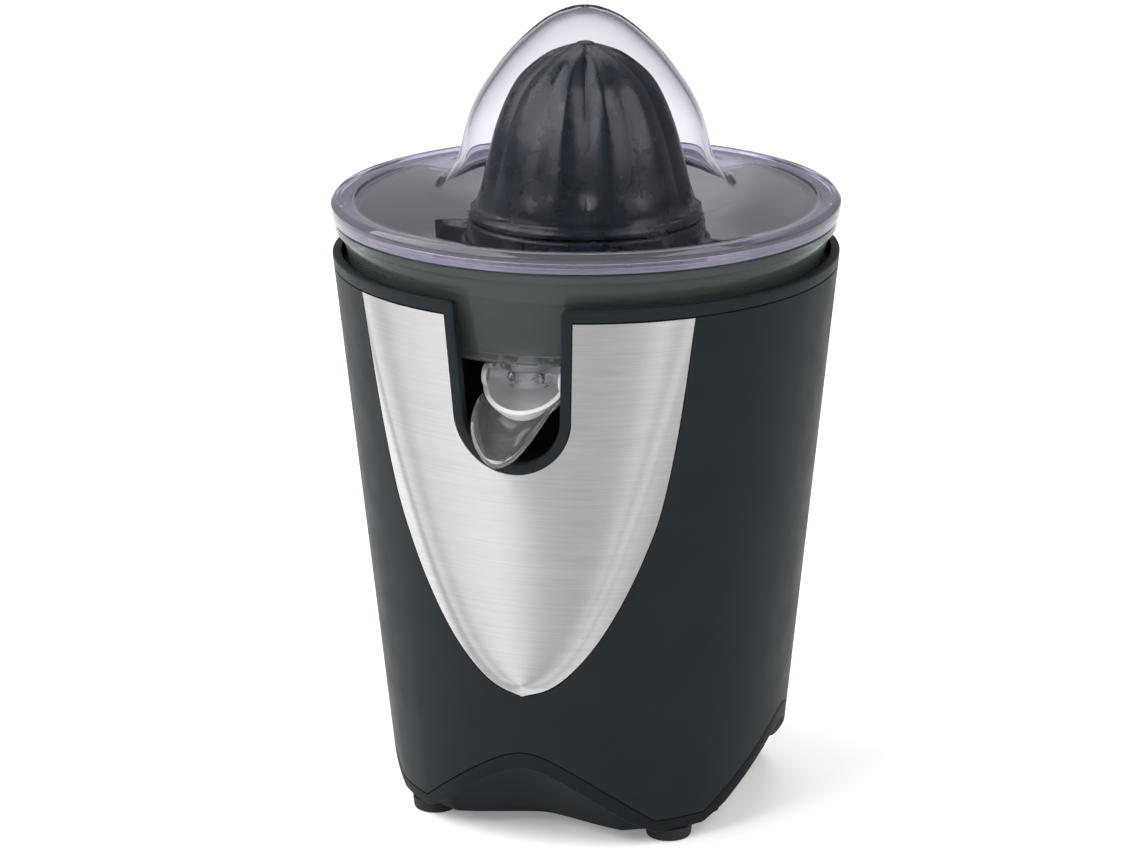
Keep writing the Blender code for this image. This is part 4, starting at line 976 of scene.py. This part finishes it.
def make_lid():
    dome = smooth_line([(48.0, 194.3)] + DOME_LINE + [(0.0, LID_TOP - 0.25)], 8)
    inner_line = [(r - 1.2, z - 1.5) for r, z in reversed(DOME_LINE[1:-1])]
    inner = smooth_line([(0.0, 247.8), (4.6, 247.2)] + inner_line + [(44.6, 193.6), (48.4, 192.3)], 8)
    rim = rounded([(76.9, 186.1, 0.2), (77.7, 186.1, 0.3), (77.7, 187.6, 0.25), (LID_R, 187.9, 0.3),
                   (LID_R, 190.6, 0.8), (76.9, 192.1, 0.9), (75.2, 191.9, 0.6), (74.4, 191.2, 0.4),
                   (71.6, 190.9, 0.5), (71.0, 191.15, 0.4), (49.5, 194.1)])[:-1]
    dimple = [(1.6, LID_TOP - 0.2), (1.2, LID_TOP), (0.7, LID_TOP), (0.4, LID_TOP - 0.3),
              (0.0, LID_TOP - 0.35)]
    under = rounded([(48.4, 192.3), (69.6, 188.9, 2.0), (76.4, 188.9, 0.4), (76.9, 186.1)])[1:-1]
    outline = rim + dome[:-3] + dimple + inner + under
    piece("dome_lid_fine", turned("dome_lid_fine", outline), "clear_plastic", "lid", "dome_lid",
          look="lid_plastic")


# ---------------------------------------------------------------- cord gland at the back

def make_gland():
    low, high = box_mm("cord_gland")
    middle_z = (low.z + high.z) / 2
    outline = rounded([(3.3, 56.0), (7.4, 56.0, 0.3), (7.4, 59.6, 0.3), (5.0, 59.8), (5.0, 66.0),
                       (7.0, 66.2, 0.4), (6.2, 68.2, 0.8), (3.3, 68.2, 0.4)])
    turns = [2 * math.pi * i / GLAND_STEPS for i in range(GLAND_STEPS)]
    rings = [[(r * math.sin(a), y, middle_z + r * math.cos(a)) for r, y in outline] for a in turns]
    piece("cord_gland_fine", loft("cord_gland_fine", rings, closed=True), "foot_rubber", "motor_base",
          "cord_gland")


# ---------------------------------------------------------------- stage

def make_camera():
    data = bpy.data.cameras.new("camera")
    data.lens = LENS
    data.sensor_width = 36.0
    data.clip_end = 50.0
    camera = bpy.data.objects.new("camera", data)
    bpy.context.scene.collection.objects.link(camera)
    heading = Matrix.Rotation(math.radians(CAMERA_AZ + YAW_DEG), 4, "Z")
    tilt = Matrix.Rotation(math.radians(90 - PITCH_DEG), 4, "X")
    roll = Matrix.Rotation(math.radians(ROLL_DEG), 4, "Z")
    spot = AXIS + polar(CAMERA_R, CAMERA_AZ, CAMERA_Z) * MM
    camera.matrix_world = Matrix.Translation(spot) @ heading @ tilt @ roll
    bpy.context.scene.camera = camera


def area_light(name, azimuth, elevation, distance, size, power):
    """A white soft box that looks at the middle of the juicer from an azimuth relative to the camera's."""
    data = bpy.data.lights.new(name, "AREA")
    data.shape = "RECTANGLE"
    data.size, data.size_y = size
    data.energy = power
    light = bpy.data.objects.new(name, data)
    bpy.context.scene.collection.objects.link(light)
    up = math.radians(elevation)
    out = polar(math.cos(up), CAMERA_AZ + azimuth, math.sin(up)) * distance
    light.location = AXIS + Vector((0, 0, LIGHT_AIM_Z)) * MM + out
    light.rotation_euler = out.to_track_quat("Z", "Y").to_euler()


def make_floor():
    mesh = bpy.data.meshes.new("floor")
    bm = bmesh.new()
    bmesh.ops.create_grid(bm, x_segments=24, y_segments=24, size=6.0)
    bm.to_mesh(mesh)
    bm.free()
    floor = bpy.data.objects.new("floor", mesh)
    bpy.context.scene.collection.objects.link(floor)
    surface = Surface("floor", (0.93, 0.93, 0.93), 0.9)
    surface.set("Specular IOR Level", 0.0)
    surface.vary_colour(surface.noise(400.0), 0.004)
    surface.set("Emission Color", (1.0, 1.0, 1.0, 1.0))
    surface.set("Emission Strength", 0.22)
    floor.data.materials.append(surface.material)


def make_light():
    world = bpy.data.worlds.new("studio")
    bpy.context.scene.world = world
    world.use_nodes = True
    background = world.node_tree.nodes["Background"]
    background.inputs["Color"].default_value = (1.0, 1.0, 1.0, 1.0)
    background.inputs["Strength"].default_value = 0.4
    area_light("left_bank", -80, 42, 1.6, (2.2, 1.3), 31)
    area_light("right_bank", 62, 38, 1.6, (0.9, 1.3), 12)
    area_light("key_strip", -44, 38, 1.5, (0.32, 1.1), 3)
    area_light("back_bank", 180, 60, 1.8, (1.6, 1.2), 12)
    bpy.context.scene.view_settings.view_transform = "Standard"


MATERIALS = make_materials()
dress_frame()
make_base()
make_shell()
make_ring()
make_bowl()
make_valve()
make_lip()
make_strainer()
make_sweeper()
make_hub()
make_cone()
make_spring()
make_lid()
make_gland()
make_floor()
make_light()
make_camera()
